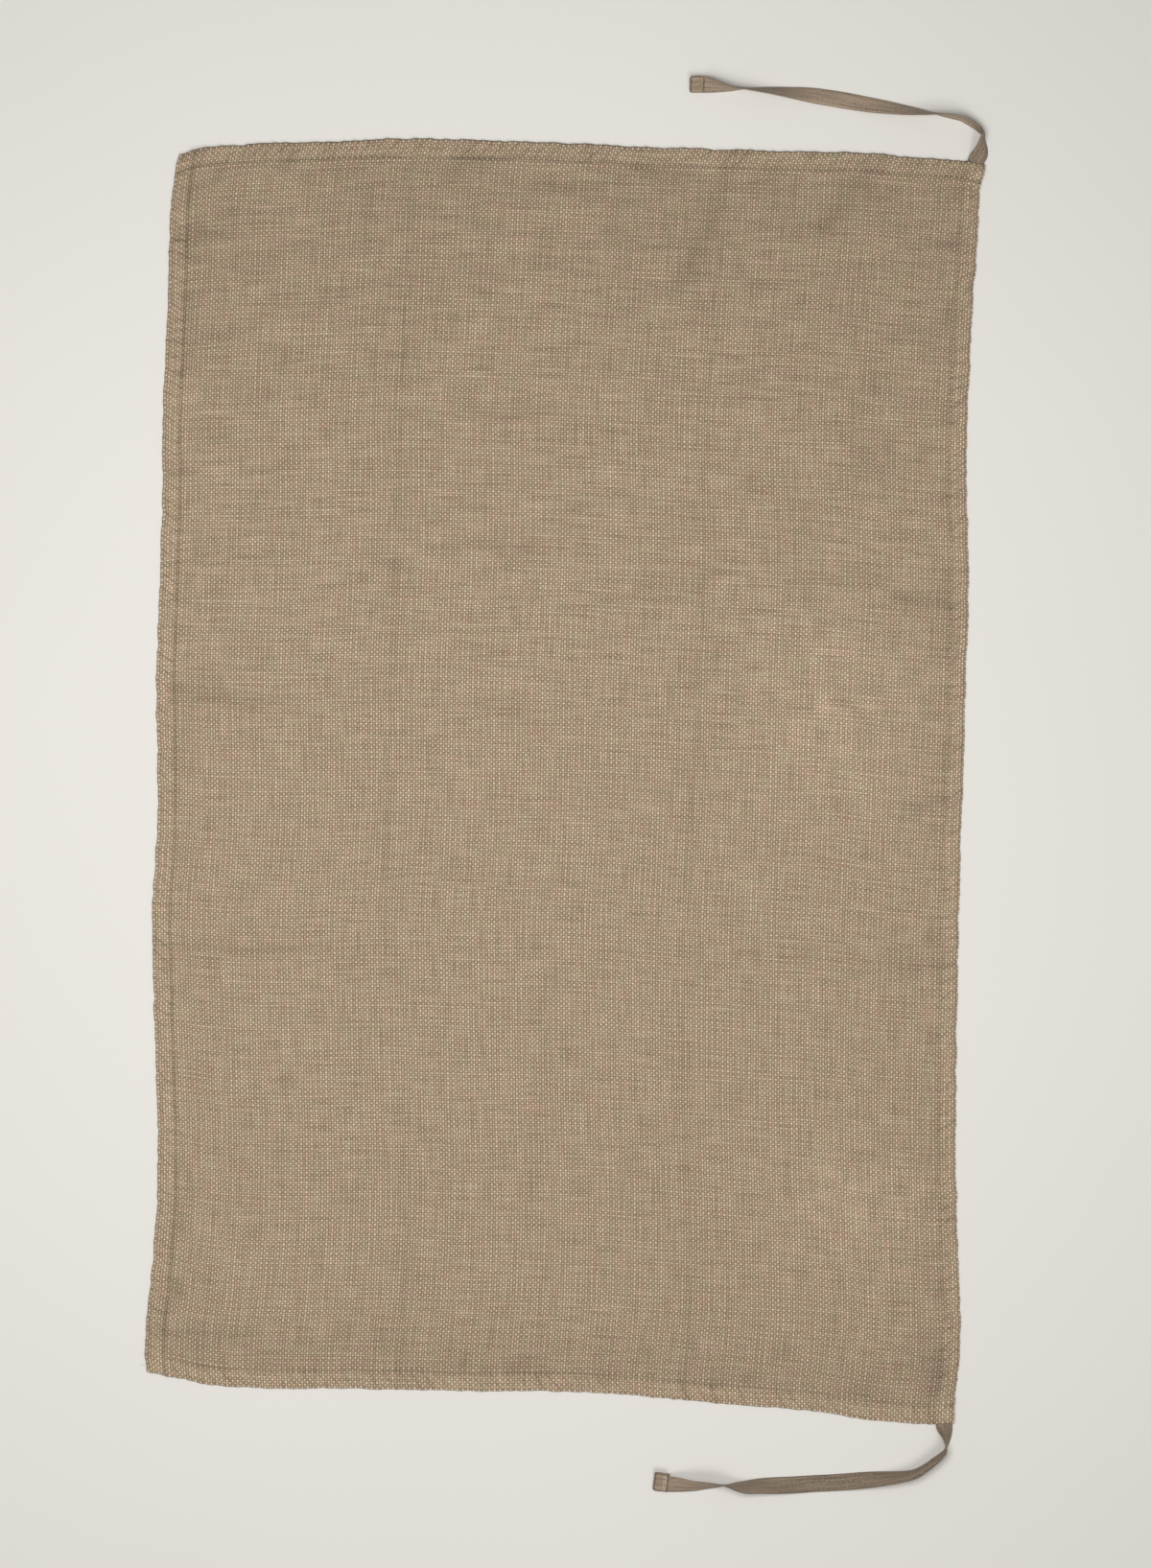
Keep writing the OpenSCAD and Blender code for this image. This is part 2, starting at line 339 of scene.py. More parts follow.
@dataclass(frozen=True)
class LinenFinish:
    """Plain-woven linen of thick, uneven yarn.

    It is matt, with rounded light floats at every second crossing, duller floats between them
    and dark gaps. Its hems are paler, and their corners more so; its wrinkles, seams, slanting hem puckers,
    folds and creases carry painted shade.
    Its material reads the sewn cloth's own coordinates, in metres.
    """

    name: str = "natural linen"
    base: str = "9f8e7a"
    float_light: str = "e6d8c4"
    gap_dark: str = "5e5044"
    thread_pitch_s: float = 1.9  # mm between the threads that run along the waist
    thread_pitch_t: float = 1.72  # mm between the threads that run down the apron
    slub_length: float = 26.0  # mm
    thread_relief: float = 0.35  # mm from a float down to a gap
    waviness: float = 0.45  # mm that a thread strays to either side
    pleat_pitch: float = 9.6  # mm between the slanting pleats along a hem
    pleat_slant: float = 0.7

    def build(self) -> bpy.types.Material:
        """Makes the material.

        Returns:
            The linen material.
        """
        look = {"Roughness": 0.92, "Specular IOR Level": 0.2, "Sheen Weight": 0.06, "Sheen Roughness": 0.6}
        material, node, link = new_material(self.name, look)
        uv = node("UVMap", {"uv_map": "Weave"})
        height, lightness = self._weave(node, uv)
        wrinkle = self._wrinkles(node, uv)
        height = node("Math", PLUS, wrinkle, 2.6, height)
        # The wrinkles' ridges are also painted lighter and their hollows darker: painted light and shade.
        lightness = node("Math", PLUS, wrinkle, 0.18, lightness)
        stops = ((0.05, self.gap_dark), (0.42, self.base), (0.95, self.float_light))
        yarn = node("ValToRGB", {"stops": stops}, lightness)

        # Faint warm and cool patches from the dyeing of the yarn.
        patch = node("TexNoise", {"Scale": 1 / (11 * MM), "Detail": 2.0, "Roughness": 0.5}, uv)
        tint = node("ValToRGB", {"stops": ((0.3, "f7f9ec"), (0.7, "fff3ef"))}, patch)
        dyed = node("Mix", {**DARKEN, 6: yarn, 7: tint})
        # Multiply by painted shade in the seams, hem puckers, folds and creases, and by paler hems and
        # cockled patches.
        shaded_and_paled = node("Mix", {**DARKEN, 6: dyed.outputs[2], 7: self._wear(node, uv)})
        link("Base Color", shaded_and_paled.outputs[2])
        relief = {"Strength": 0.75, "Distance": self.thread_relief * MM, "Height": height}
        link("Normal", node("Bump", relief).outputs[0])
        return material

    @staticmethod
    def _wrinkles(node: Callable, uv: bpy.types.Node) -> bpy.types.Node:
        """Draws the fine wrinkles that washing leaves.

        Towards the left side they run down the apron, and towards the right side along its waist.

        Args:
            node: Adds a node to the material.
            uv: Node with the cloth's own coordinates.

        Returns:
            Node whose value lies round 0: above it on a ridge and below it in a hollow.
        """
        place = node("SeparateXYZ", {}, uv)
        left = node("MapRange", SMOOTH, place.outputs[1], 0.36, 0.6, 0.0, 1.0)
        right = node("MapRange", SMOOTH, place.outputs[1], 0.2, 0.45, 0.6, 0.0)
        shares = []
        for cell_s, cell_t, share in ((34, 5.5, left), (5.5, 60, right)):
            scaled = node("VectorMath", TIMES, uv, (1 / (cell_s * MM), 1 / (cell_t * MM), 1.0))
            field = node("TexNoise", {"Scale": 1.0, "Detail": 2.0, "Roughness": 0.6}, scaled)
            shares.append(node("Math", TIMES, node("Math", LESS, field, 0.5), share))
        return node("Math", {"operation": "ADD"}, *shares)

    def _weave(self, node: Callable, uv: bpy.types.Node) -> tuple[bpy.types.Node, bpy.types.Node]:
        """Draws the crossing threads.

        Args:
            node: Adds a node to the material.
            uv: Node with the cloth's own coordinates.

        Returns:
            Nodes with the height, 0 to 1, and the lightness, 0 to 1.
        """
        # Uneven yarn: the threads stray a little from straight lines.
        stray = node("TexNoise", {"Scale": 1 / (8 * MM), "Detail": 2.0, "Roughness": 0.6}, uv)
        centred = node("VectorMath", LESS, stray.outputs["Color"], (0.5, 0.5, 0.5))
        shifted = node("VectorMath", PLUS, centred, (2 * self.waviness * MM,) * 3, uv)
        split = node("SeparateXYZ", {}, shifted)

        # One half wave for each thread, so that the product changes sign at each crossing.
        # Slubs: each thread is thicker and lighter in places along its length.
        pitches = (self.thread_pitch_s, self.thread_pitch_t)
        waves, slubs = [], []
        for axis, pitch in enumerate(pitches):
            waves.append(node("Math", SINE, node("Math", TIMES, split.outputs[axis], math.pi / (pitch * MM))))
            cells = [1 / (self.slub_length * MM), 1 / (self.slub_length * MM), 1.0]
            cells[axis] = 1 / (pitch * MM)
            scaled = node("VectorMath", TIMES, uv, cells)
            slubs.append(node("TexNoise", {"Scale": 1.0, "Detail": 1.0}, scaled))
        over = node("Math", TIMES, *waves)
        under = node("Math", TIMES, over, -1.0)
        light_float = node("Math", POWER, node("Math", MOST, over, 0.0), 1.25)
        dull_float = node("Math", POWER, node("Math", MOST, under, 0.0), 0.8)
        height = node("Math", PLUS, dull_float, 0.8, light_float)
        light = node("Math", TIMES, light_float, node("Math", PLUS, slubs[0], 0.7, 0.28))
        dull = node("Math", TIMES, dull_float, node("Math", TIMES, slubs[1], 0.9))

        # Broken fibres give single floats a lighter or darker look.
        fleck = node("TexNoise", {"Scale": 1 / (1.9 * MM), "Detail": 1.0, "Roughness": 0.6}, uv)
        ridge = node("Math", UNSIGNED, waves[0])
        lightness = node("Math", LESS, light, 0.08)
        for part, share in (
            (dull, 0.42), (fleck, 0.24), (slubs[0], 0.12), (slubs[1], 0.2), (waves[0], 0.035),
            (waves[1], 0.025), (ridge, 0.12),
        ):
            lightness = node("Math", PLUS, part, share, lightness)
        return height, lightness

    def _wear(self, node: Callable, uv: bpy.types.Node) -> bpy.types.Node:
        """Paints shade along the seams, darkest at each stitch, and on slanting puckers along the hems; adds
        the painted shade and paling of the cloth's own map; and pales the doubled hems, more so at their
        corners.

        Args:
            node: Adds a node to the material.
            uv: Node with the cloth's own coordinates.

        Returns:
            Node with a grey to multiply by.
        """
        split = node("SeparateXYZ", {}, uv)
        stray = node("TexNoise", {"Scale": 1 / (28 * MM), "Detail": 1.0}, uv)
        seam_shades, hems, pleat_shades = [], [], []
        for axis, size in ((0, DEPTH), (1, WIDTH)):
            along = split.outputs[1 - axis]
            inward = node("Math", {"operation": "PINGPONG"}, split.outputs[axis], size / 2 * MM)
            # Painted shade along each seam's groove, darkest at each needle hole.
            off = node("Math", UNSIGNED, node("Math", LESS, inward, SEAM_INSET * MM))
            on_seam = node("MapRange", SMOOTH, off, 0.0, 2.6 * MM, 1.0, 0.0)
            beat = node("Math", SINE, node("Math", TIMES, along, 2 * math.pi / (STITCH_PITCH * MM)))
            seam_shades.append(node("Math", TIMES, on_seam, node("Math", PLUS, beat, 0.45, 0.55)))
            hems.append(node("MapRange", SMOOTH, inward, 10.4 * MM, 11.6 * MM, 1.0, 0.0))

            # Painted shade on the crests of slanting pleats along each hem.
            slanted = node("Math", PLUS, inward, self.pleat_slant, along)
            slanted = node("Math", PLUS, stray, 16 * MM, slanted)
            beat = node("Math", SINE, node("Math", TIMES, slanted, 2 * math.pi / (self.pleat_pitch * MM)))
            crest = node("MapRange", SMOOTH, beat, 0.62, 1.0)
            band = node("MapRange", SMOOTH, inward, 8 * MM, 15 * MM, 1.0, 0.0)
            pleat_shades.append(node("Math", TIMES, crest, band))
        uneven = node("TexNoise", {"Scale": 1 / (34 * MM), "Detail": 2.0, "Roughness": 0.6}, uv)
        tight = node("MapRange", {}, uneven, 0.35, 0.68, 0.25, 1.0)
        seam_shade, pleat_shade = (node("Math", TIMES, node("Math", MOST, *pair), tight) for pair in (seam_shades, pleat_shades))
        doubled, corner = node("Math", MOST, *hems), node("Math", TIMES, *hems)
        # The cloth's own map: painted shade of folds, creases and hem edges, darker streaks, and paler
        # cockled patches.
        wear = node("SeparateXYZ", {}, node("UVMap", {"uv_map": "Wear"}))
        tone = node("Math", PLUS, seam_shade, -0.36, 1.0)
        for part, share in (
            (wear.outputs[0], -0.3), (wear.outputs[1], 0.2), (doubled, 0.08), (corner, 0.06), (pleat_shade, -0.28)
        ):
            tone = node("Math", PLUS, part, share, tone)
        return node("CombineXYZ", {}, tone, tone, tone)


@dataclass(frozen=True)
class TapeFinish:
    """Cotton herringbone twill tape: slanting ribs that turn back in columns.

    The ribs give it a fine speckle, and its selvedges are darker, partly from their tighter
    weave and partly with painted shade. Some lengths are painted darker where the tape turns
    away from the light. Its material reads the distance across and along the tape, in metres.
    """

    name: str = "herringbone twill tape"
    base: str = "b5a28c"
    rib_dark: str = "5f5246"
    rib_pitch: float = 1.5  # mm, coarser than the real 0.8 so that it shows
    column: float = 6.0  # mm across one pair of rib columns
    rib_relief: float = 0.15  # mm
    half_width: float = 6.0  # mm
    selvedge: float = 1.1  # mm

    def build(self) -> bpy.types.Material:
        """Makes the material.

        Returns:
            The tape material.
        """
        look = {"Roughness": 0.85, "Specular IOR Level": 0.25, "Sheen Weight": 0.1}
        material, node, link = new_material(self.name, look)
        uv = node("UVMap", {"uv_map": "Tape"})
        across, along = node("SeparateXYZ", {}, uv).outputs[:2]
        folded = node("Math", {"operation": "PINGPONG"}, across, self.column / 2 * MM)
        slant = node("Math", PLUS, folded, 1.1, along)
        rib = node("Math", SINE, node("Math", TIMES, slant, 2 * math.pi / (self.rib_pitch * MM)))
        fibre = node("TexNoise", {"Scale": 1 / (1.3 * MM), "Detail": 2.0, "Roughness": 0.7}, uv)
        drawn = node("VectorMath", TIMES, uv, (1 / (1.4 * MM), 1 / (35 * MM), 1.0))
        streak = node("TexNoise", {"Scale": 1.0, "Detail": 1.0}, drawn)
        height = node("Math", PLUS, rib, 0.18, fibre)
        light = node("Math", LESS, node("Math", PLUS, streak, 0.6, height), 0.3)
        cotton = node("ValToRGB", {"stops": ((0.24, self.rib_dark), (0.76, self.base))}, light)

        # Sun and washing pale some lengths, and painted shade darkens others where the tape turns away from
        # the light; the selvedges are darker, partly from their tighter weave and partly with painted shade.
        fading = node("SeparateXYZ", {}, node("UVMap", {"uv_map": "Fading"}))
        inner, outer = (self.half_width - self.selvedge) * MM, self.half_width * MM
        edge = node("MapRange", {}, node("Math", UNSIGNED, across), inner, outer, 2.0, 1.6)
        tone = node("Math", TIMES, fading.outputs[0], edge)
        tone = node("CombineXYZ", {}, tone, tone, tone)
        link("Base Color", node("Mix", {**DARKEN, 6: cotton, 7: tone}).outputs[2])
        relief = {"Strength": 0.8, "Distance": self.rib_relief * MM, "Height": height}
        link("Normal", node("Bump", relief).outputs[0])
        return material


@dataclass(frozen=True)
class ThreadFinish:
    """Spun polyester sewing thread: fine twisted plies with a faint gloss."""

    name: str = "spun sewing thread"
    base: str = "b09d82"
    ply_dark: str = "8d7b65"
    ply_pitch: float = 0.5  # mm

    def build(self) -> bpy.types.Material:
        """Makes the material.

        Returns:
            The thread material.
        """
        material, node, link = new_material(self.name, {"Roughness": 0.6})
        twist = {"Scale": 1 / (self.ply_pitch * MM) / (2 * math.pi), "Distortion": 1.5}
        twist["bands_direction"] = "DIAGONAL"
        ply = node("TexWave", twist, node("TexCoord").outputs["Object"])
        plies = node("ValToRGB", {"stops": ((0.0, self.ply_dark), (1.0, self.base))}, ply.outputs[1])
        link("Base Color", plies.outputs[0])
        return material


@dataclass(frozen=True)
class TableFinish:
    """Painted table top: pale warm grey, quite matt, with faint clouds from the roller."""

    name: str = "painted table top"
    base: str = "dfddd9"
    clouds: str = "dcdad6"

    def build(self) -> bpy.types.Material:
        """Makes the material.

        Returns:
            The table's material.
        """
        material, node, link = new_material(self.name, {"Roughness": 0.9, "Specular IOR Level": 0.1})
        clouds = node("TexNoise", {"Scale": 3.0, "Detail": 2.0}, node("TexCoord").outputs["Object"])
        paint = node("ValToRGB", {"stops": ((0.0, self.clouds), (1.0, self.base))}, clouds)
        link("Base Color", paint.outputs[0])
        return material


# ---------------------------------------------------------------- the laid cloth


@dataclass(frozen=True)
class Crease:
    """One ridge or dent in the laid cloth, from s0, t0 to s1, t1, in millimetres."""

    s0: float
    t0: float
    s1: float
    t1: float
    height: float
    width: float

    def profile(self, s: np.ndarray, t: np.ndarray) -> np.ndarray:
        """How much of the crease shows at each place: 1 along the middle of its length.

        Args:
            s, t: Places on the sewn cloth, in millimetres.

        Returns:
            Values of 0 to 1.
        """
        start = np.array([self.s0, self.t0])
        run = np.array([self.s1, self.t1]) - start
        length = np.linalg.norm(run)
        way = run / length
        ds, dt = s - start[0], t - start[1]
        along = (ds * way[0] + dt * way[1]) / length
        aside = -ds * way[1] + dt * way[0]
        close = np.abs(aside) < 20
        seed = self.s0 + self.t0
        aside[close] += 3.2 * cloth_noise(along[close] * length / 22, along[close] * 0, seed, 2)
        ends = np.exp(-((np.clip(np.abs(along - 0.5) - 0.35, 0, None) / 0.18) ** 2))
        return ends * np.exp(-((aside / (0.5 * self.width)) ** 2))


@dataclass(frozen=True)
class Waves:
    """One layer of smooth, uneven waves over the sewn cloth, with cells of one size in mm."""

    cell_s: float
    cell_t: float
    seed: float
    octaves: int = 2
    height: float = 1.0

    def at(self, s: np.ndarray, t: np.ndarray) -> np.ndarray:
        """Heights of about -height to height, at places in millimetres."""
        return self.height * cloth_noise(s / self.cell_s, t / self.cell_t, self.seed, self.octaves)


# How the cloth lies.
BROAD_SWELLS = Waves(190, 190, 11.3, height=1.8)
SOFT_WAVES = Waves(45, 45, 5.7, octaves=3, height=0.9)
WAIST_STREAKS = Waves(15, 120, 21.9, height=0.75)
DOWNWARD_ROLLS = Waves(85, 17, 33.3, height=1.2)
COCKLES = Waves(17, 17, 44.1)
# How its colour changes: paler flecks, blotches of painted shade inside the hems, and darker streaks.
PALE_FLECKS = Waves(15, 15, 51.0, height=0.85)
HEM_SHADE_BLOTCHES = Waves(30, 30, 61.0, octaves=3)
DARK_STREAKS = Waves(60, 24, 71.0, octaves=3)


@dataclass
class Fold:
    """One long, sharp fold left by pressing, through points of s, t and strength."""

    depth: float
    points: tuple

    def __post_init__(self) -> None:
        """Finds which way the fold runs, and sorts its points that way."""
        points = np.array(self.points, float)
        run = np.abs(points[-1] - points[0])
        # 0 for a fold that keeps nearly the same s, and 1 for one that keeps the same t.
        self.axis = 0 if run[1] > run[0] else 1
        self.seed = points[0, 0]
        self.mean = points[:, self.axis].mean()
        points = points[np.argsort(points[:, 1 - self.axis])]
        self.knots, self.middles, self.strengths = points[:, [1 - self.axis, self.axis, 2]].T

    def place(self, along: np.ndarray) -> np.ndarray:
        """Where the fold runs, at given distances along it, in millimetres."""
        return np.interp(along, self.knots, self.middles) + 1.6 * line_noise(along, 34, self.axis * 5.0, 2.5)

    def profile(self, s: np.ndarray, t: np.ndarray) -> np.ndarray:
        """How much of the fold shows at each place: most at its line, and uneven along it.

        Args:
            s, t: Places on the sewn cloth, in millimetres.

        Returns:
            Values of 0 to 1.3.
        """
        aside, along = (s, t) if self.axis == 0 else (t, s)
        off = np.abs(aside - self.place(along))
        uneven = 1 + 0.6 * line_noise(along, 40, 9.1, self.seed)
        strength = np.clip(np.interp(along, self.knots, self.strengths) * uneven, 0, 1.3)
        return strength * (0.7 * np.exp(-off / 1.5) + 0.3 * np.exp(-off / 8))


@dataclass
class LaidCloth:
    """Where each point of the sewn apron lies: its place on the table and its height.

    In the sewn cloth's own coordinates, s is the distance from the lower edge and t the
    distance from the right side, in millimetres.
    """

    pitch: float = 3.8
    folds: tuple = (
        # Two along the width and one across.
        Fold(1.2, (
            (170, 890, 0.5), (171, 760, 0.8), (168, 620, 0.7), (165, 450, 0.5), (165, 400, 0.9),
            (166, 310, 0.6), (174, 220, 0.2), (180, 40, 0.8),
        )),
        Fold(1.1, (
            (394, 880, 0.4), (388, 650, 0.5), (386, 540, 0.8), (379, 330, 0.4), (380, 150, 0.5),
            (383, 30, 1.1),
        )),
        Fold(1.3, (
            (8, 316, 1.2), (90, 317, 0.9), (180, 318, 0.25), (400, 323, 0.3), (520, 326, 0.5),
            (566, 327, 1.2),
        )),
    )
    creases: tuple = (
        # Dents that sewing and folding left near the edges.
        (140, 880, 141, 830, -0.5, 6), (90, 884, 235, 881, -0.45, 11), (250, 868, 306, 871, -0.9, 10),
        (325, 882, 385, 879, -0.5, 9), (394, 880, 366, 799, -0.8, 18), (498, 890, 463, 846, -0.8, 16),
        (530, 838, 574, 842, -0.7, 8), (2, 838, 42, 836, -0.8, 8), (4, 822, 30, 818, -0.5, 6),
        (2, 664, 26, 660, -0.7, 9), (20, 600, 80, 602, -0.5, 9), (16, 502, 78, 497, -0.8, 15),
        (520, 588, 574, 580, -0.8, 11), (536, 436, 574, 448, -0.9, 9), (525, 322, 556, 324, -0.6, 8),
        (546, 64, 562, 22, -0.6, 18), (4, 32, 74, 38, -0.6, 7), (566, 190, 566, 60, -0.5, 6),
        (566, 566, 566, 470, -0.5, 6),
        # Soft ridges and hollows in the middle.
        (214, 700, 270, 701, 0.8, 5), (228, 657, 266, 656, -0.45, 5), (202, 641, 248, 634, -0.5, 5),
        (196, 608, 268, 611, -0.5, 8), (225, 495, 262, 493, -0.4, 16), (449, 178, 492, 180, 0.8, 6),
        (270, 875, 268, 820, -0.4, 7), (60, 720, 120, 706, 0.6, 9), (300, 560, 352, 580, 0.6, 10),
        (340, 606, 400, 596, -0.35, 8), (440, 590, 520, 600, -0.4, 9), (180, 372, 330, 366, -0.3, 5),
        (440, 520, 500, 500, 0.8, 9), (330, 210, 352, 110, 0.6, 10), (206, 250, 216, 90, 0.5, 12),
        (284, 290, 268, 120, -0.3, 12), (480, 700, 520, 660, 0.6, 9), (90, 250, 98, 140, 0.6, 9),
    )

    def __post_init__(self) -> None:
        """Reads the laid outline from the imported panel."""
        self.creases = [Crease(*row) for row in self.creases]
        ring = self._outline_points(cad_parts["apron_panel"])
        ring = ring[np.argsort(np.arctan2(ring[:, 1], ring[:, 0]))]
        at = {}
        for name, sx, sy in (("ll", -1, 1), ("wl", 1, 1), ("lr", -1, -1), ("wr", 1, -1)):
            at[name] = int(np.argmax(sx * ring[:, 0] + sy * ring[:, 1]))
        self.corner = {name: ring[i] for name, i in at.items()}
        # Anticlockwise round the outline: right side, waist edge, left side, lower edge.
        self.edges = {
            Side.RIGHT: self._edge(ring, at["lr"], at["wr"]),
            Side.WAIST: self._edge(ring, at["wr"], at["wl"]),
            Side.LEFT: self._edge(ring, at["wl"], at["ll"], turn_round=True),
            Side.LOWER: self._edge(ring, at["ll"], at["lr"], turn_round=True),
        }

    @staticmethod
    def _outline_points(panel: bpy.types.Object) -> np.ndarray:
        """Finds the corners of the panel's outer side wall, at its top.

        Args:
            panel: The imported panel.

        Returns:
            One row of x and y for each corner, in metres.
        """
        points = np.array([v.co for v in panel.data.vertices])
        top = points[:, 2].max()
        found = set()
        for face in panel.data.polygons:
            heights = points[list(face.vertices), 2]
            tall = abs(heights.max() - top) < 1e-5 and abs(heights.min() - (top - CLOTH_T * MM)) < 1e-5
            if abs(face.normal.z) < 0.01 and tall:
                upper = [i for i in face.vertices if points[i, 2] > top - 1e-5]
                found |= {tuple(np.round(points[i, :2], 6)) for i in upper}
        return np.array(sorted(found))

    @staticmethod
    def _edge(ring: np.ndarray, first: int, last: int, turn_round: bool = False) -> tuple:
        """One edge of the outline, as a curve over 0 to 1.

        Args:
            ring: The outline's corners in order, anticlockwise.
            first: Number of the edge's first corner.
            last: Number of its last corner.
            turn_round: Whether the curve runs the other way.

        Returns:
            The rising places of the points and the points themselves.
        """
        count = (last - first) % len(ring)
        points = ring[[(first + i) % len(ring) for i in range(count + 1)]]
        if turn_round:
            points = points[::-1]
        steps = np.linalg.norm(np.diff(points, axis=0), axis=1)
        place = np.concatenate([[0], np.cumsum(steps)])
        return place / place[-1], points

    def place(self, s: np.ndarray, t: np.ndarray) -> np.ndarray:
        """Where points of the sewn cloth lie on the table.

        Args:
            s, t: Places on the sewn cloth, in millimetres.

        Returns:
            Rows of x and y, in metres.
        """
        u, v = (s / DEPTH)[:, None], (t / WIDTH)[:, None]
        right, left = (smooth_curve(*self.edges[side], u[:, 0]) for side in (Side.RIGHT, Side.LEFT))
        lower, waist = (smooth_curve(*self.edges[side], v[:, 0]) for side in (Side.LOWER, Side.WAIST))
        corners = (
            (1 - u) * (1 - v) * self.corner["lr"] + u * (1 - v) * self.corner["wr"]
            + (1 - u) * v * self.corner["ll"] + u * v * self.corner["wl"]
        )
        laid = (1 - v) * right + v * left + (1 - u) * lower + u * waist - corners
        # The stitches draw the edges in and let them out a little.
        for axis, outward, inward, along in self._edges_near(s, t):
            near = inward < 16
            wave = np.zeros_like(s)
            wave[near] = 0.9 * cloth_noise(along[near] / 13, along[near] * 0 + axis, 2.2 + outward, 2)
            wave[near] += 0.1 * self._scallop(along[near], axis + outward)
            laid[:, axis] += outward * MM * wave * (1 - smoothstep(0, 16, inward))
        return laid

    @staticmethod
    def _edges_near(s: np.ndarray, t: np.ndarray) -> tuple:
        """Each edge's axis and way out, and how far places lie in from it and along it.

        Args:
            s, t: Places on the sewn cloth, in millimetres.

        Returns:
            One row for each edge: lower, waist, right and left.
        """
        return (0, -1, s, t), (0, 1, DEPTH - s, t), (1, -1, t, s), (1, 1, WIDTH - t, s)

    @staticmethod
    def _scallop(along: np.ndarray, seed: float) -> np.ndarray:
        """The small waves that tight stitches pull into an edge, at distances along it in mm."""
        return np.sin(2 * np.pi * along / 9.4 + 4.5 * line_noise(along, 31, seed, 8.5))

    def edge_rows(self, axis: int) -> np.ndarray:
        """Places of the mesh's rows along one direction: close at the hems and even between.

        Args:
            axis: 0 for rows at each s, and 1 for rows at each t.

        Returns:
            Rising distances from one edge, in millimetres.
        """
        length, seam = (DEPTH, WIDTH)[axis], SEAM_INSET
        near = np.array([
            0, 0.25, 0.8, 1.8, 4, 6.6, 9.2, seam - 1.1, seam - 0.5, seam, seam + 0.5,
            seam + 1.1, seam + 2.3, seam + 4.2, seam + 7,
        ])
        inner = length - 2 * near[-1]
        steps = int(round(inner / self.pitch))
        middle = near[-1] + inner * np.arange(1, steps) / steps
        # Each long fold has its own close rows in place of the even ones.
        for fold in self.folds:
            if fold.axis == axis:
                middle = middle[np.abs(middle - fold.mean) > 3.2]
                middle = np.concatenate([middle, fold.mean + np.array([-2.6, -1.1, 0, 1.1, 2.6])])
        return np.concatenate([near, np.sort(middle), length - near[::-1]])

    def grid(self) -> tuple[np.ndarray, np.ndarray, int, int]:
        """The mesh's points in the cloth's own coordinates, with rows that follow the folds.

        Returns:
            s and t of each point in millimetres, the number of rows and of columns.
        """
        rows, columns = self.edge_rows(0), self.edge_rows(1)
        even = [g.ravel() for g in np.meshgrid(rows, columns, indexing="ij")]
        moved = [g.copy() for g in even]
        for fold in self.folds:
            here, along = even[fold.axis], even[1 - fold.axis]
            inward = np.minimum(here, (DEPTH, WIDTH)[fold.axis] - here)
            reach = np.exp(-(((here - fold.mean) / 45) ** 2)) * smoothstep(20, 60, inward)
            moved[fold.axis] += (fold.place(along) - fold.mean) * reach
        return *moved, len(rows), len(columns)

    def height(self, s: np.ndarray, t: np.ndarray) -> np.ndarray:
        """Height of the cloth's front face above the table.

        Args:
            s, t: Places on the sewn cloth, in millimetres.

        Returns:
            Heights in millimetres.
        """
        edges = [row[2] for row in self._edges_near(s, t)]
        on_hem = [1 - smoothstep(HEM_W, HEM_W + 5, d) for d in edges]
        raised = np.maximum.reduce(on_hem)
        corner = np.maximum(on_hem[0], on_hem[1]) * np.maximum(on_hem[2], on_hem[3])
        rounding = np.maximum.reduce([1.6 * np.clip(1 - d / 1.7, 0, 1) ** 2.2 for d in edges])
        groove = sum(0.6 * np.exp(-(((d - SEAM_INSET) / 0.9) ** 2)) for d in edges)

        inside = smoothstep(HEM_W - 2, HEM_W + 60, np.minimum.reduce(edges))
        body = CLOTH_T + 2 * CLOTH_T * raised + 0.4 * corner
        return body + self._ripples(s, t) + inside * self._drape(s, t) - rounding - groove

    def _ripples(self, s: np.ndarray, t: np.ndarray) -> np.ndarray:
        """The puckers that sewing leaves along the hems.

        Args:
            s, t: Places on the sewn cloth, in millimetres.

        Returns:
            Heights in millimetres.
        """
        total = np.zeros_like(s)
        for k, (axis, outward, inward, along) in enumerate(self._edges_near(s, t)):
            near, edge = inward < 45, inward < 14
            window = smoothstep(0.5, 5, inward) * (1 - 0.75 * np.exp(-(((inward - SEAM_INSET) / 2.2) ** 2)))
            window = window * (1 - smoothstep(14, 44, inward) * 0.9) * (1 - smoothstep(36, 45, inward))
            value = np.zeros_like(s)
            value[near] = cloth_noise(along[near] / 9.5, inward[near] / 30, 3.1 + 7 * k, 2)
            total += 1.7 * window * value
            scallop = self._scallop(along[edge], axis + outward)
            total[edge] += 0.5 * scallop * (1 - smoothstep(3, 12, inward[edge]))
        return total

    def _drape(self, s: np.ndarray, t: np.ndarray) -> np.ndarray:
        """The folds, creases and soft waves of the cloth inside the hems, in millimetres.

        Args:
            s, t: Places on the sewn cloth, in millimetres.

        Returns:
            Heights over the hems' own level.
        """
        left_half = smoothstep(330, 560, t)
        total = 1.5 + BROAD_SWELLS.at(s, t) + SOFT_WAVES.at(s, t)
        total += (1 - left_half) * WAIST_STREAKS.at(s, t) + left_half * DOWNWARD_ROLLS.at(s, t)
        total += (0.25 + 1.1 * self._cockled(s, t)) * COCKLES.at(s, t)
        for fold in self.folds:
            total -= fold.depth * fold.profile(s, t)
        for crease in self.creases:
            total += 2.2 * crease.height * crease.profile(s, t)
        return np.maximum(total, -0.1)

    @staticmethod
    def _cockled(s: np.ndarray, t: np.ndarray) -> np.ndarray:
        """Two patches near the waist where washing has cockled the cloth, 0 to 1."""
        larger = np.exp(-(((s - 478) / 52) ** 2 + ((t - 495) / 68) ** 2))
        return larger + 0.8 * np.exp(-(((s - 495) / 48) ** 2 + ((t - 150) / 52) ** 2))

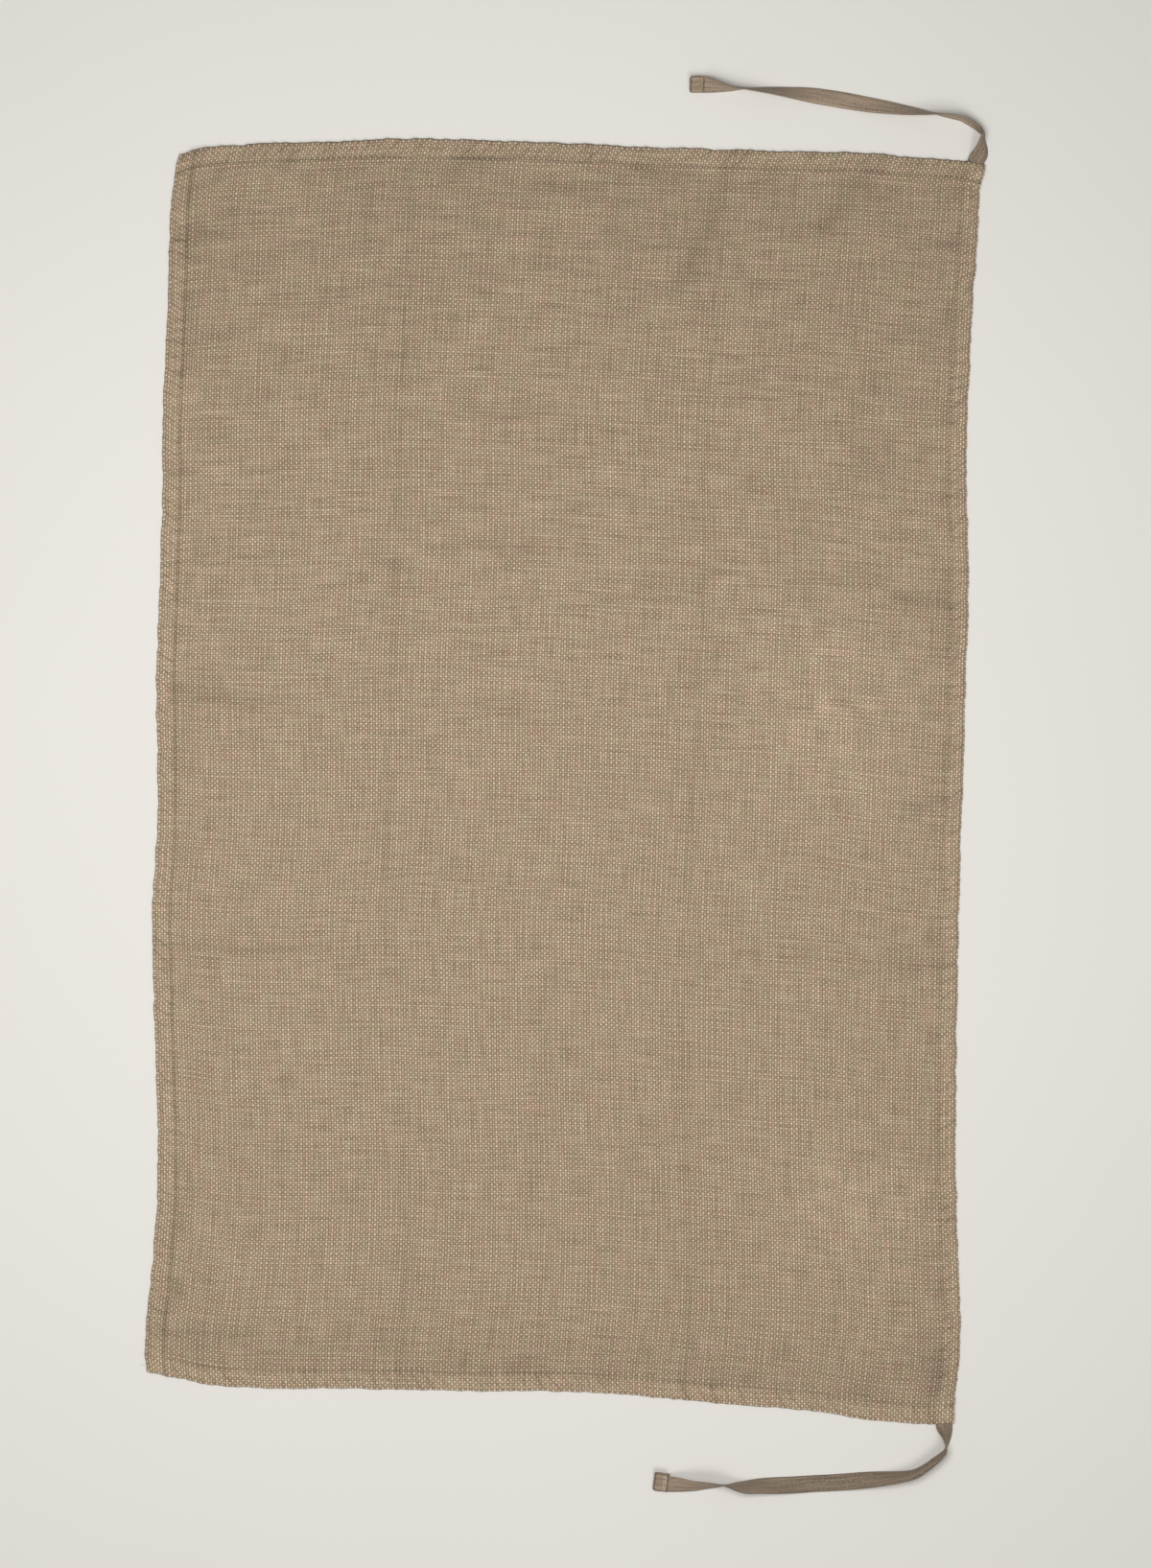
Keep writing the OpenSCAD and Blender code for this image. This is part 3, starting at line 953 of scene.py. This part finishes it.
    def wear(self, s: np.ndarray, t: np.ndarray) -> np.ndarray:
        """How much painted shade darkens the cloth, and how much its cockled patches are paled, 0 to 1.

        Args:
            s, t: Places on the sewn cloth, in millimetres.

        Returns:
            Rows of the darkening and the paling. The darkening is painted shade in the folds, the dented
            creases, blotches inside the hems, a band near the right side and towards the left side, with
            darker streaks towards the left side; the paling is of the cockled patches.
        """
        # Painted shade in the pressed folds and, more, in the dented creases.
        dark = sum(0.5 * fold.profile(s, t) for fold in self.folds)
        for crease in self.creases:
            dark = dark + 0.6 * np.clip(-crease.height, 0.1, 1) * crease.profile(s, t)
        inward = np.minimum.reduce([row[2] for row in self._edges_near(s, t)])
        blotch = np.clip(HEM_SHADE_BLOTCHES.at(s, t) + 0.15, 0, 1)
        # Painted shade in blotches along the inside of the hems.
        dark = dark + 0.55 * blotch * np.exp(-(((inward - 15) / 8) ** 2))
        dark = dark + 0.16 * (DARK_STREAKS.at(s, t) + 0.3) * smoothstep(500, 700, t)
        # Painted shade: darker towards the left side, and in a band near the right side.
        dark = dark + 0.22 * smoothstep(640, 860, t) + 0.2 * np.exp(-(((t - 30) / 18) ** 2))
        pale = self._cockled(s, t) * (0.6 + PALE_FLECKS.at(s, t))
        return np.clip(np.column_stack([dark, pale]), 0, 1)

    def surface(self, s: np.ndarray, t: np.ndarray) -> np.ndarray:
        """Points of the cloth's front face, in metres.

        Args:
            s, t: Places on the sewn cloth, in millimetres.

        Returns:
            Rows of x, y, z.
        """
        return np.column_stack([self.place(s, t), self.height(s, t) * MM])

    @staticmethod
    def across(side: Side, along: np.ndarray, inward: np.ndarray) -> tuple[np.ndarray, np.ndarray]:
        """Turns places along and in from one edge into the cloth's own coordinates.

        Args:
            side: The edge.
            along: Distances along it, in millimetres.
            inward: Distances in from it, in millimetres.

        Returns:
            s and t, in millimetres.
        """
        return {
            Side.WAIST: (DEPTH - inward, along),
            Side.LOWER: (inward, along),
            Side.LEFT: (along, WIDTH - inward),
            Side.RIGHT: (along, inward),
        }[side]


def edge_length(side: Side) -> float:
    """Length of an edge of the sewn apron, in millimetres."""
    return WIDTH if side in (Side.WAIST, Side.LOWER) else DEPTH


@dataclass
class Panel:
    """The apron's one piece of cloth, with its edges rounded over the hems."""

    cloth: LaidCloth
    linen: bpy.types.Material

    def build(self) -> bpy.types.Object:
        """Makes the panel, front face up.

        Returns:
            The panel.
        """
        s, t, rows, columns = self.cloth.grid()
        points = self.cloth.surface(s, t)
        piece = mesh_piece("apron_cloth", points, grid_faces(rows, columns), self.linen)
        set_uv(piece, "Weave", np.column_stack([s, t]) * MM)
        # Painted shade and paling, for the linen's colour.
        set_uv(piece, "Wear", self.cloth.wear(s, t))
        wall = piece.modifiers.new("thickness", "SOLIDIFY")
        wall.thickness = CLOTH_T * 0.95 * MM
        wall.offset = -1
        apply_modifiers(piece)
        self._rest_on_table(piece)
        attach(piece, "apron")
        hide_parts("apron_panel")
        return piece

    @staticmethod
    def _rest_on_table(piece: bpy.types.Object) -> None:
        """Lifts any point that lies under the table top to just above it.

        Args:
            piece: The panel.
        """
        for vertex in piece.data.vertices:
            vertex.co.z = max(vertex.co.z, 0.02 * MM)
        piece.data.update()


@dataclass
class Hem:
    """The two layers of cloth turned to the back along one edge."""

    cloth: LaidCloth
    side: Side
    node: str
    linen: bpy.types.Material
    step: float = 4.0

    def build(self) -> bpy.types.Object:
        """Makes the turned layers: a strip with rounded folds and a line between the layers.

        Returns:
            The hem.
        """
        width = HEM_W
        # Distance in from the edge, height of the strip's underside, and share of the space
        # between that and the cloth above, round the strip's section.
        section = np.array([
            (1.2, 0.9, 0.0), (1.3, 0.35, 0.0), (2.2, 0.05, 0.0), (5.0, 0.0, 0.0), (9.5, 0.02, 0.0),
            (11.4, 0.1, 0.0), (12.3, 0.3, 0.0), (13.0, 0.12, 0.0), (width - 0.1, 0.14, 0.12),
            (width, 0.1, 0.3), (width - 0.2, 0.1, 0.44), (width - 0.9, 0.15, 0.5),
            (width - 0.2, 0.1, 0.57), (width, 0.1, 0.72), (width - 0.3, 0.1, 0.95), (12.3, 0.3, 1.0),
            (11.4, 0.1, 1.0), (9.0, 0.0, 1.0), (5.0, 0.0, 1.0), (2.0, 0.0, 1.0), (1.4, 0.5, 0.7),
        ])
        length = edge_length(self.side)
        # The side hems butt against the waist hem and the lower hem.
        trim = 1.2 if self.side in (Side.WAIST, Side.LOWER) else width + 0.1
        stations = np.linspace(trim, length - trim, int((length - 2 * trim) / self.step) + 1)
        along = np.repeat(stations, len(section))
        inward, low, share = (np.tile(section[:, i], len(stations)) for i in range(3))
        s, t = self.cloth.across(self.side, along, inward)
        room = np.clip(self.cloth.height(s, t) - CLOTH_T - 0.03, low + 0.2, 2 * CLOTH_T)
        height = low + share * (room - low)
        points = np.column_stack([self.cloth.place(s, t), (height + 0.02) * MM])
        piece = tube_piece(self.node + "_turned", points.reshape(len(stations), -1, 3), self.linen)
        set_uv(piece, "Weave", np.column_stack([s, t]) * MM)
        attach(piece, "apron")
        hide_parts(self.node)
        return piece


# ---------------------------------------------------------------- stitching


@dataclass
class Stitch:
    """One machine stitch, modelled once along X and copied to each place."""

    thread: bpy.types.Material
    length: float = 3.3
    radius: float = 0.3
    narrowed: float = 0.45  # share of its thickness left at each end

    def __post_init__(self) -> None:
        """Models the stitch: a six-sided thread that narrows into the cloth at both ends."""
        bpy.ops.object.select_all(action="DESELECT")
        bpy.ops.mesh.primitive_cylinder_add(
            vertices=6, radius=self.radius * MM, depth=0.7 * self.length * MM, rotation=(0, math.pi / 2, 0)
        )
        shape = bpy.context.active_object
        bpy.ops.object.transform_apply(location=True, rotation=True, scale=True)
        mesh = shape.data
        for sign in (-1, 1):
            bpy.ops.object.mode_set(mode="EDIT")
            bpy.ops.mesh.select_all(action="DESELECT")
            bpy.ops.mesh.select_mode(type="FACE")
            bpy.ops.object.mode_set(mode="OBJECT")
            for face in mesh.polygons:
                face.select = face.normal.x * sign > 0.9
            bpy.ops.object.mode_set(mode="EDIT")
            pull = (sign * 0.15 * self.length * MM, 0, -0.25 * self.radius * MM)
            bpy.ops.mesh.extrude_region_move(TRANSFORM_OT_translate={"value": pull})
            bpy.ops.transform.resize(value=(1, self.narrowed, self.narrowed))
            bpy.ops.object.mode_set(mode="OBJECT")
        # The operators number the points and faces differently from run to run, so both are sorted.
        points = np.array([v.co for v in mesh.vertices])
        order = np.lexsort(points.T)
        number = np.argsort(order)
        rings = [number[list(face.vertices)] for face in mesh.polygons]
        self.points = points[order]
        self.faces = sorted(np.roll(ring, -np.argmin(ring)).tolist() for ring in rings)
        bpy.data.objects.remove(shape)

    def sew(self, name: str, places: np.ndarray, ways: np.ndarray, ups: np.ndarray) -> bpy.types.Object:
        """Copies the stitch to each place.

        Args:
            name: Name of the piece that holds the stitches.
            places: The stitches' middles, in metres.
            ways: The direction that each runs in.
            ups: The direction out of the cloth at each.

        Returns:
            One piece with all the stitches.
        """
        ways = ways / np.linalg.norm(ways, axis=1)[:, None]
        sides = np.cross(ups, ways)
        sides /= np.linalg.norm(sides, axis=1)[:, None]
        ups = np.cross(ways, sides)
        basis = np.stack([ways, sides, ups], axis=1)
        points = np.einsum("pk,nkc->npc", self.points, basis) + places[:, None, :]
        count = len(self.points)
        faces = [[i * count + v for v in face] for i in range(len(places)) for face in self.faces]
        return mesh_piece(name, points.reshape(-1, 3), faces, self.thread)


@dataclass
class HemSeam:
    """The row of machine stitches that holds one hem, on the front and on the back."""

    cloth: LaidCloth
    side: Side
    node: str
    stitch: Stitch
    loose_end: tuple = ()

    def _leave_loose_end(self, row: bpy.types.Object) -> None:
        """Joins the unclipped end of the thread to the row, as a thin bent tube.

        Args:
            row: The row of stitches.
        """
        curve = bpy.data.curves.new("loose_end", "CURVE")
        curve.dimensions = "3D"
        curve.bevel_depth = self.stitch.radius * MM
        curve.bevel_resolution = 2
        curve.use_fill_caps = True
        spline = curve.splines.new("NURBS")
        spline.points.add(len(self.loose_end) - 1)
        for point, (x, y, z) in zip(spline.points, self.loose_end):
            point.co = (x * MM, y * MM, z * MM, 1.0)
        spline.use_endpoint_u = True
        thread = bpy.data.objects.new("loose_end", curve)
        bpy.context.scene.collection.objects.link(thread)
        make_active(thread)
        bpy.ops.object.convert(target="MESH")
        row.select_set(True)
        bpy.context.view_layer.objects.active = row
        bpy.ops.object.join()

    def build(self) -> bpy.types.Object:
        """Makes the row of stitches.

        Returns:
            The stitching.
        """
        length = edge_length(self.side) - 4
        count = int(length / STITCH_PITCH)
        middle = 2 + length * (np.arange(count) + 0.5) / count
        inward = np.full(count, SEAM_INSET)
        ends = [
            self.cloth.surface(*self.cloth.across(self.side, middle + shift * STITCH_PITCH, inward))
            for shift in (-0.4, 0.4)
        ]
        places, ways, ups = [], [], []
        for face in Face:
            centre, way = (ends[0] + ends[1]) / 2, ends[1] - ends[0]
            if face is Face.FRONT:
                centre[:, 2] += 0.12 * MM
            else:
                centre[:, 2] = 0.31 * MM
                way[:, 2] = 0
            places.append(centre)
            ways.append(way)
            ups.append(np.tile([0.0, 0.0, 1.0 if face is Face.FRONT else -1.0], (count, 1)))
        piece = self.stitch.sew(self.node + "_row", *(np.concatenate(a) for a in (places, ways, ups)))
        if self.loose_end:
            self._leave_loose_end(piece)
        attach(piece, "apron")
        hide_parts(self.node)
        return piece


# ---------------------------------------------------------------- the ties


@dataclass
class Tie:
    """One length of twill tape, from its tail in the hem to its turned and stitched end.

    A row of the route is x, y, the turn about the tape's own length in degrees, and the
    height above touching the table, in millimetres.
    """

    name: str
    route: tuple
    bend: tuple
    exit_point: tuple
    length: float
    tape: bpy.types.Material
    # Tone along the tape, by distance in mm: sun-paled lengths, and painted shade where the tape turns away
    # from the light.
    fading: tuple = ((0, 1.0), (250, 1.0))
    width: float = 12.0
    thickness: float = 0.7
    turn_l: float = 9.5  # length of the end that is turned back
    ring_gap: float = 1.5
    rings_before: int = 5  # rings over which the tape bends, before the bend and after it
    rings_after: int = 14
    cups: tuple = ((0, 0.0), (260, 0.0))
    end_spread: float = 0.0
    end_shift: float = 0.0

    def __post_init__(self) -> None:
        """Works out the tape's centreline and the turn at each ring."""
        route = np.array(self.route, float)
        steps = np.linalg.norm(np.diff(route[:, :2], axis=0), axis=1)
        place = np.concatenate([[0], np.cumsum(steps)])
        at = np.linspace(0, place[-1], int(place[-1] / self.ring_gap) + 1)
        line = smooth_curve(place, route[:, :2], at)
        self.turn = np.radians(self._soften(np.interp(at, place, route[:, 2]), 3))
        lift = self._soften(np.interp(at, place, route[:, 3]), 2)
        rest = self.width / 2 * np.abs(np.sin(self.turn)) + self.thickness / 2 * np.abs(np.cos(self.turn))
        self.centre = np.column_stack([line, rest + lift])
        walked = np.linalg.norm(np.diff(self.centre, axis=0), axis=1)
        self.along = np.concatenate([[0], np.cumsum(walked)])

    @staticmethod
    def _soften(values: np.ndarray, passes: int) -> np.ndarray:
        """Rounds the corners of a row of values, and keeps its ends.

        Args:
            values: The values.
            passes: How many times they are smoothed.

        Returns:
            The smoothed values.
        """
        values = values.copy()
        for _ in range(passes):
            values[1:-1] = (values[:-2] + 2 * values[1:-1] + values[2:]) / 4
        return values

    def frames(self) -> tuple[np.ndarray, np.ndarray, np.ndarray]:
        """The directions along, across and out of the tape at each ring.

        Returns:
            Three arrays of unit vectors.
        """
        way = np.gradient(self.centre[:, :2], axis=0)
        way = np.column_stack([way, np.zeros(len(way))])
        way /= np.linalg.norm(way, axis=1)[:, None]
        left = np.column_stack([-way[:, 1], way[:, 0], np.zeros(len(way))])
        up = np.array([0.0, 0.0, 1.0])
        c, s = np.cos(self.turn)[:, None], np.sin(self.turn)[:, None]
        return way, left * c + up * s, up * c - left * s

    def build(self) -> bpy.types.Object:
        """Returns:
            The tape.
        """
        half = self.width / 2
        section = flat_section(half, half - 0.35, self.thickness / 2)
        _, across, out = self.frames()
        places, cups = np.array(self.cups, float).T
        bow = np.interp(self.along, places, cups)[:, None] * ((section[:, 0] / half) ** 2 - 0.35)
        aside, height = section[None, :, 0, None], (section[:, 1] + bow)[:, :, None]
        rings = (self.centre[:, None, :] + across[:, None, :] * aside + out[:, None, :] * height) * MM
        rings[:, :, 2] = np.maximum(rings[:, :, 2], 0.01 * MM)
        piece = tube_piece(self.name + "_tape", rings, self.tape)
        along = np.repeat(self.along, len(section))
        set_uv(piece, "Tape", np.column_stack([np.tile(section[:, 0], len(rings)), along]) * MM)
        set_uv(piece, "Fading", self._faded_and_shaded(along))
        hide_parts(self.name + "_root", self.name)
        self._blend(piece)
        return piece

    def _faded_and_shaded(self, along: np.ndarray) -> np.ndarray:
        """How pale or dark the tape is at distances along it in millimetres, from sun and washing and from
        painted shade: half its tone, and 0.
        """
        places, tones = np.array(self.fading, float).T
        return np.column_stack([np.interp(along, places, tones) / 2, 0 * along])

    def _blend(self, piece: bpy.types.Object) -> None:
        """Bakes the tape's place into its points.

        Args:
            piece: The tape.
        """
        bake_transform(piece)

    def declare(self, piece: bpy.types.Object, with_pieces: list[bpy.types.Object]) -> None:
        """Args:
            piece: The tape. Not used.
            with_pieces: The pieces on it. Not used.
        """

    def _end_frame(self) -> tuple[np.ndarray, np.ndarray, np.ndarray, np.ndarray]:
        """Finds the tape's end and how it lies there.

        Returns:
            The tape's last point in millimetres, and the directions back, across and up from it.
        """
        way, across, out = self.frames()
        up = out[-1] if out[-1, 2] > 0 else -out[-1]
        return self.centre[-1], -way[-2], across[-1], up

    def build_turned_end(self) -> bpy.types.Object:
        """Makes the end of the tape, folded back over itself.

        Returns:
            The turned end.
        """
        end, back, across, up = self._end_frame()
        # Distance back from the fold, height over the tape's middle and share of the width,
        # along the layer.
        line = np.array([
            (self.turn_l + 0.1, 0.74, 0.97), (self.turn_l - 0.5, 0.9, 1.0), (7.6, 0.8, 0.99),
            (6.4, 0.72, 0.98),
            (5.0, 0.9, 1.0), (3.0, 0.98, 1.01), (1.2, 0.95, 1.0), (0.2, 0.8, 0.97), (-0.45, 0.45, 0.92),
            (-0.6, 0.05, 0.87), (-0.4, -0.25, 0.84),
        ])
        line, shares = line[:, :2], line[:, 2]
        way = np.gradient(line, axis=0)
        way /= np.linalg.norm(way, axis=1)[:, None]
        half = self.width / 2 + self.end_spread
        section = flat_section(half, half - 0.4, 0.36)
        points, uv, tones = [], [], []
        for (d, h), (along, rise), share in zip(line, way, shares):
            for x, out in section:
                aside = x * share + self.end_shift
                place = end + back * (d + rise * out) + up * (h - along * out) + across * aside
                points.append(place * MM)
                uv.append((x, self.along[-1] + self.turn_l - d))
                # Painted shade darkens the fold and the raw edge, where the turned layer steps up.
                tones.append(0.6 if d < 0.6 or d > self.turn_l - 0.6 else 1.0)
        rings = np.array(points).reshape(len(line), -1, 3)
        piece = tube_piece(self.name + "_turned_end_fold", rings, self.tape)
        uv = np.array(uv)
        set_uv(piece, "Tape", uv * MM)
        set_uv(piece, "Fading", self._faded_and_shaded(uv[:, 1]) * np.array(tones)[:, None])
        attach(piece, self.name + "_length")
        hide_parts(self.name + "_turned_end")
        return piece

    def build_end_stitches(self, stitch: Stitch) -> bpy.types.Object:
        """Makes the stitches across the turned end.

        Args:
            stitch: The stitch to copy.

        Returns:
            The stitches.
        """
        end, back, across, up = self._end_frame()
        reach, height = self.width / 2 - 1.4, 1.35
        places, ways = [], []
        # How far each row is in from the raw edge, and how its stitches lean.
        for row, lean in ((1.6, 0.7), (3.2, -0.7)):
            for x in np.linspace(-reach, reach, 5) + lean * 0.5:
                places.append((end + back * (self.turn_l - row) + across * x + up * height) * MM)
                ways.append(across + back * lean)
        ups = np.tile(up, (len(places), 1))
        piece = stitch.sew(self.name + "_end_stitches", np.array(places), np.array(ways), ups)
        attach(piece, self.name + "_length")
        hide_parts(self.name + "_end_stitching")
        return piece


LEFT_ROUTE = (
    (290.9, 431, 0, 0.85), (293.8, 441, 0, 0.85), (295.6, 447.5, 0, 0.85),
    (298.3, 451.8, 20, 0.5), (299.5, 456, 43, 0.2), (300, 461, 68, 0), (300, 465.5, 90, 0),
    (298, 468.4, 100, 0), (294.3, 471.5, 101, 0), (290.3, 473.9, 101, 0), (284, 476.9, 98, 0),
    (277.3, 478.1, 95, 0), (271, 478.9, 88, 0), (264, 479.9, 75, 0), (256.5, 480.9, 62, 0),
    (242, 482.6, 42, 0), (221, 485.9, 18, 0), (200, 489.8, 4, 0), (179.5, 492.9, 12, 0),
    (159, 495.2, 42, 0), (141, 497, 63, 0), (130, 497.7, 76, 0), (122, 498.1, 90, 0),
    (115, 498.7, 106, 0), (107, 499.8, 130, 0), (101, 500.9, 160, 0.3), (90, 501.2, 160, 0.3),
)
RIGHT_ROUTE = (
    (272.1, -448, 0, 0.85), (271.8, -458, 0, 0.85), (272.1, -463.2, 0, 0.85),
    (273.3, -468, -42, 0.3), (273.5, -474, -68, 0), (272.4, -480, -90, 0),
    (269.3, -483.2, -97, 0), (265.2, -486.2, -100, 0), (258.2, -491.5, -104, 0), (250.8, -495.8, -112, 0),
    (238.6, -498.8, -126, 0), (226.5, -500.5, -143, 0), (214, -502.1, -160, 0), (195, -504, -174, 0),
    (177, -505, -177, 0), (159, -505.8, -166, 0), (148, -505.9, -156, 0), (138, -505.8, -144, 0),
    (129, -506, -130, 0), (122, -505.4, -110, 0), (117, -505.1, -90, 0), (110.5, -505.1, -72, 0),
    (103, -505.2, -60, 0), (92, -505.8, -44, 0), (82, -505.4, -24, 0), (74.5, -505, -10, 0.3),
    (64, -503.6, -10, 0.3),
)


# The end of the lower hem's thread, which sticks out past the corner: x, y, z in millimetres.
LOOSE_END = (
    (-296.5, -421.5, 2.4), (-299.0, -421.0, 2.3), (-301.0, -420.0, 1.0), (-304.0, -419.6, 0.5),
    (-307.0, -420.4, 0.5),
)


@dataclass
class Tack:
    """The short rows of stitches on a corner that hold the tail of a tie."""

    node: str
    route: tuple
    stitch: Stitch
    rows_along: tuple = (8.0, 10.5)
    rows_across: tuple = (-3.2, -1.1, 1.1, 3.2)

    def build(self) -> bpy.types.Object:
        """Makes the rows of stitches.

        Returns:
            The stitches.
        """
        _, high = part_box(self.node)
        tail, ahead = (np.array(self.route[i][:2], float) for i in (0, 1))
        way = (ahead - tail) / np.linalg.norm(ahead - tail)
        side = np.array([-way[1], way[0]])
        places = []
        for along in self.rows_along:
            for across in self.rows_across:
                spot = tail + way * along + side * across
                places.append((*spot * MM, high.z + 0.15 * MM))
        ways, ups = (np.tile(way, (len(places), 1)) for way in ([*side, 0.0], [0.0, 0.0, 1.0]))
        piece = self.stitch.sew(self.node + "_rows", np.array(places), ways, ups)
        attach(piece, "apron")
        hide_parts(self.node)
        return piece


# ---------------------------------------------------------------- studio


@dataclass(frozen=True)
class Lamp:
    """One square, soft lamp, and what it faces."""

    name: str
    place: tuple
    aim: tuple
    size: float  # m
    power: float  # W

    def build(self) -> bpy.types.Object:
        """Makes the lamp.

        Returns:
            The lamp.
        """
        data = bpy.data.lights.new(self.name, "AREA")
        data.shape = "SQUARE"
        data.size = self.size
        data.energy = self.power
        data.color = (1.0, 0.985, 0.96)
        lamp = bpy.data.objects.new(self.name, data)
        lamp.location = self.place
        lamp.visible_camera = False
        lamp.rotation_mode = "QUATERNION"
        lamp.rotation_quaternion = (Vector(self.aim) - Vector(self.place)).to_track_quat("-Z", "Y")
        bpy.context.scene.collection.objects.link(lamp)
        return lamp


@dataclass
class Studio:
    """A plain pale table, soft light from one side, and a camera that looks straight down."""

    view_height: float = 1.128
    view_centre: tuple = (0.0071, -0.0017)
    lens: float = 85.0
    sensor: float = 36.0
    table_size: float = 60.0
    surround: float = 0.237
    lamps: tuple = (
        Lamp("key", (2.0, -4.6, 5.8), (0, 0, 0), 3.0, 172.0),
        Lamp("overhead", (-0.15, 0.05, 1.5), (-0.15, 0.05, 0), 0.8, 17.4),
    )

    def build_camera(self) -> bpy.types.Object:
        """Makes the camera, above the middle of the laid apron and its ties.

        Returns:
            The camera.
        """
        data = bpy.data.cameras.new("overhead_camera")
        data.lens = self.lens
        data.sensor_width = self.sensor
        data.clip_end = 20
        camera = bpy.data.objects.new("overhead_camera", data)
        camera.location = (*self.view_centre, self.lens / self.sensor * self.view_height)
        bpy.context.scene.collection.objects.link(camera)
        bpy.context.scene.camera = camera
        return camera

    def build_table(self, finish: bpy.types.Material) -> bpy.types.Object:
        """Makes the table top, which isn't part of the apron.

        Args:
            finish: The table's material.

        Returns:
            The table top.
        """
        bpy.ops.object.select_all(action="DESELECT")
        bpy.ops.mesh.primitive_plane_add(size=self.table_size, location=(0, 0, 0))
        table = bpy.context.active_object
        table.name = "table_top"
        table.data.materials.append(finish)
        return table

    def build_lights(self) -> None:
        """Makes an even surrounding light, one wide lamp to the lower right and one overhead."""
        world = bpy.data.worlds.new("studio")
        bpy.context.scene.world = world
        world.use_nodes = True
        background = world.node_tree.nodes["Background"]
        background.inputs["Color"].default_value = (1.0, 0.99, 0.975, 1.0)
        background.inputs["Strength"].default_value = self.surround
        for lamp in self.lamps:
            lamp.build()
        bpy.context.scene.view_settings.view_transform = "Standard"


def main() -> None:
    """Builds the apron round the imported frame, piece by piece."""
    logging.basicConfig(level=logging.INFO, format="%(message)s")
    bpy.ops.object.select_all(action="DESELECT")
    studio = Studio()
    studio.build_camera()
    linen = LinenFinish().build()
    tape = TapeFinish().build()
    thread = ThreadFinish().build()

    ties = [
        Tie(
            "left_tie", LEFT_ROUTE, (300, 465.5), (294.7, 444.7, 1.2), 0.252, tape,
            end_spread=-0.3,
            end_shift=-0.2,
            # Tone along the tape: paler where sun-faded, darker with painted shade at the root and at the
            # twist.
            fading=(
                (0, 0.73), (36, 0.76), (50, 0.95), (80, 1.04), (150, 1.06), (185, 1.0), (200, 0.88),
                (250, 0.96),
            ),
            cups=(
                (0, 0), (22, 0), (33, -1.7), (50, -1.4), (75, -0.8), (110, 0.4), (165, 0.3), (212, -0.8),
                (224, -1.6), (238, -0.6), (250, 0),
            ),
        ),
        Tie(
            "right_tie", RIGHT_ROUTE, (272.4, -480), (271.8, -461, 1.2), 0.248, tape,
            end_spread=1.1,
            end_shift=-1.1,
            # Tone along the tape: darker with painted shade where its turned face looks away from the light,
            # paler near the end.
            fading=((0, 0.77), (40, 0.73), (120, 0.71), (180, 0.74), (205, 0.9), (250, 0.97)),
            cups=(
                (0, 0), (20, 0.2), (31, 1.2), (42, 2.6), (60, 2.4), (90, 0.9), (115, 0.3), (165, 0.4),
                (184, 1.7), (196, 1.0), (230, 0),
            ),
        ),
    ]
    pale_thread = ThreadFinish("pale sewing thread", "dccfb8", "b3a48c").build()
    for tie, end_thread in zip(ties, (thread, pale_thread)):
        piece = tie.build()
        end_stitch = Stitch(end_thread, length=2.3, radius=0.38)
        tie.declare(piece, [tie.build_turned_end(), tie.build_end_stitches(end_stitch)])
        LOG.info("%s: %d rings, %.0f mm long", piece.name, len(tie.centre), tie.along[-1])

    cloth = LaidCloth()
    panel = Panel(cloth, linen).build()
    LOG.info("%s: %d faces", panel.name, len(panel.data.polygons))
    hem_stitch = Stitch(thread)
    for side in Side:
        node = side.value + "_hem"
        Hem(cloth, side, node, linen).build()
        loose_end = LOOSE_END if side is Side.LOWER else ()
        seam = HemSeam(cloth, side, node + "_stitching", hem_stitch, loose_end=loose_end)
        seam.build()
        LOG.info("%s and its stitching", node)
    tack_stitch = Stitch(pale_thread, length=2.0)
    for tie in ties:
        Tack(tie.name + "_tack", tie.route, tack_stitch).build()

    studio.build_table(TableFinish().build())
    studio.build_lights()


if __name__ == "__main__":
    main()
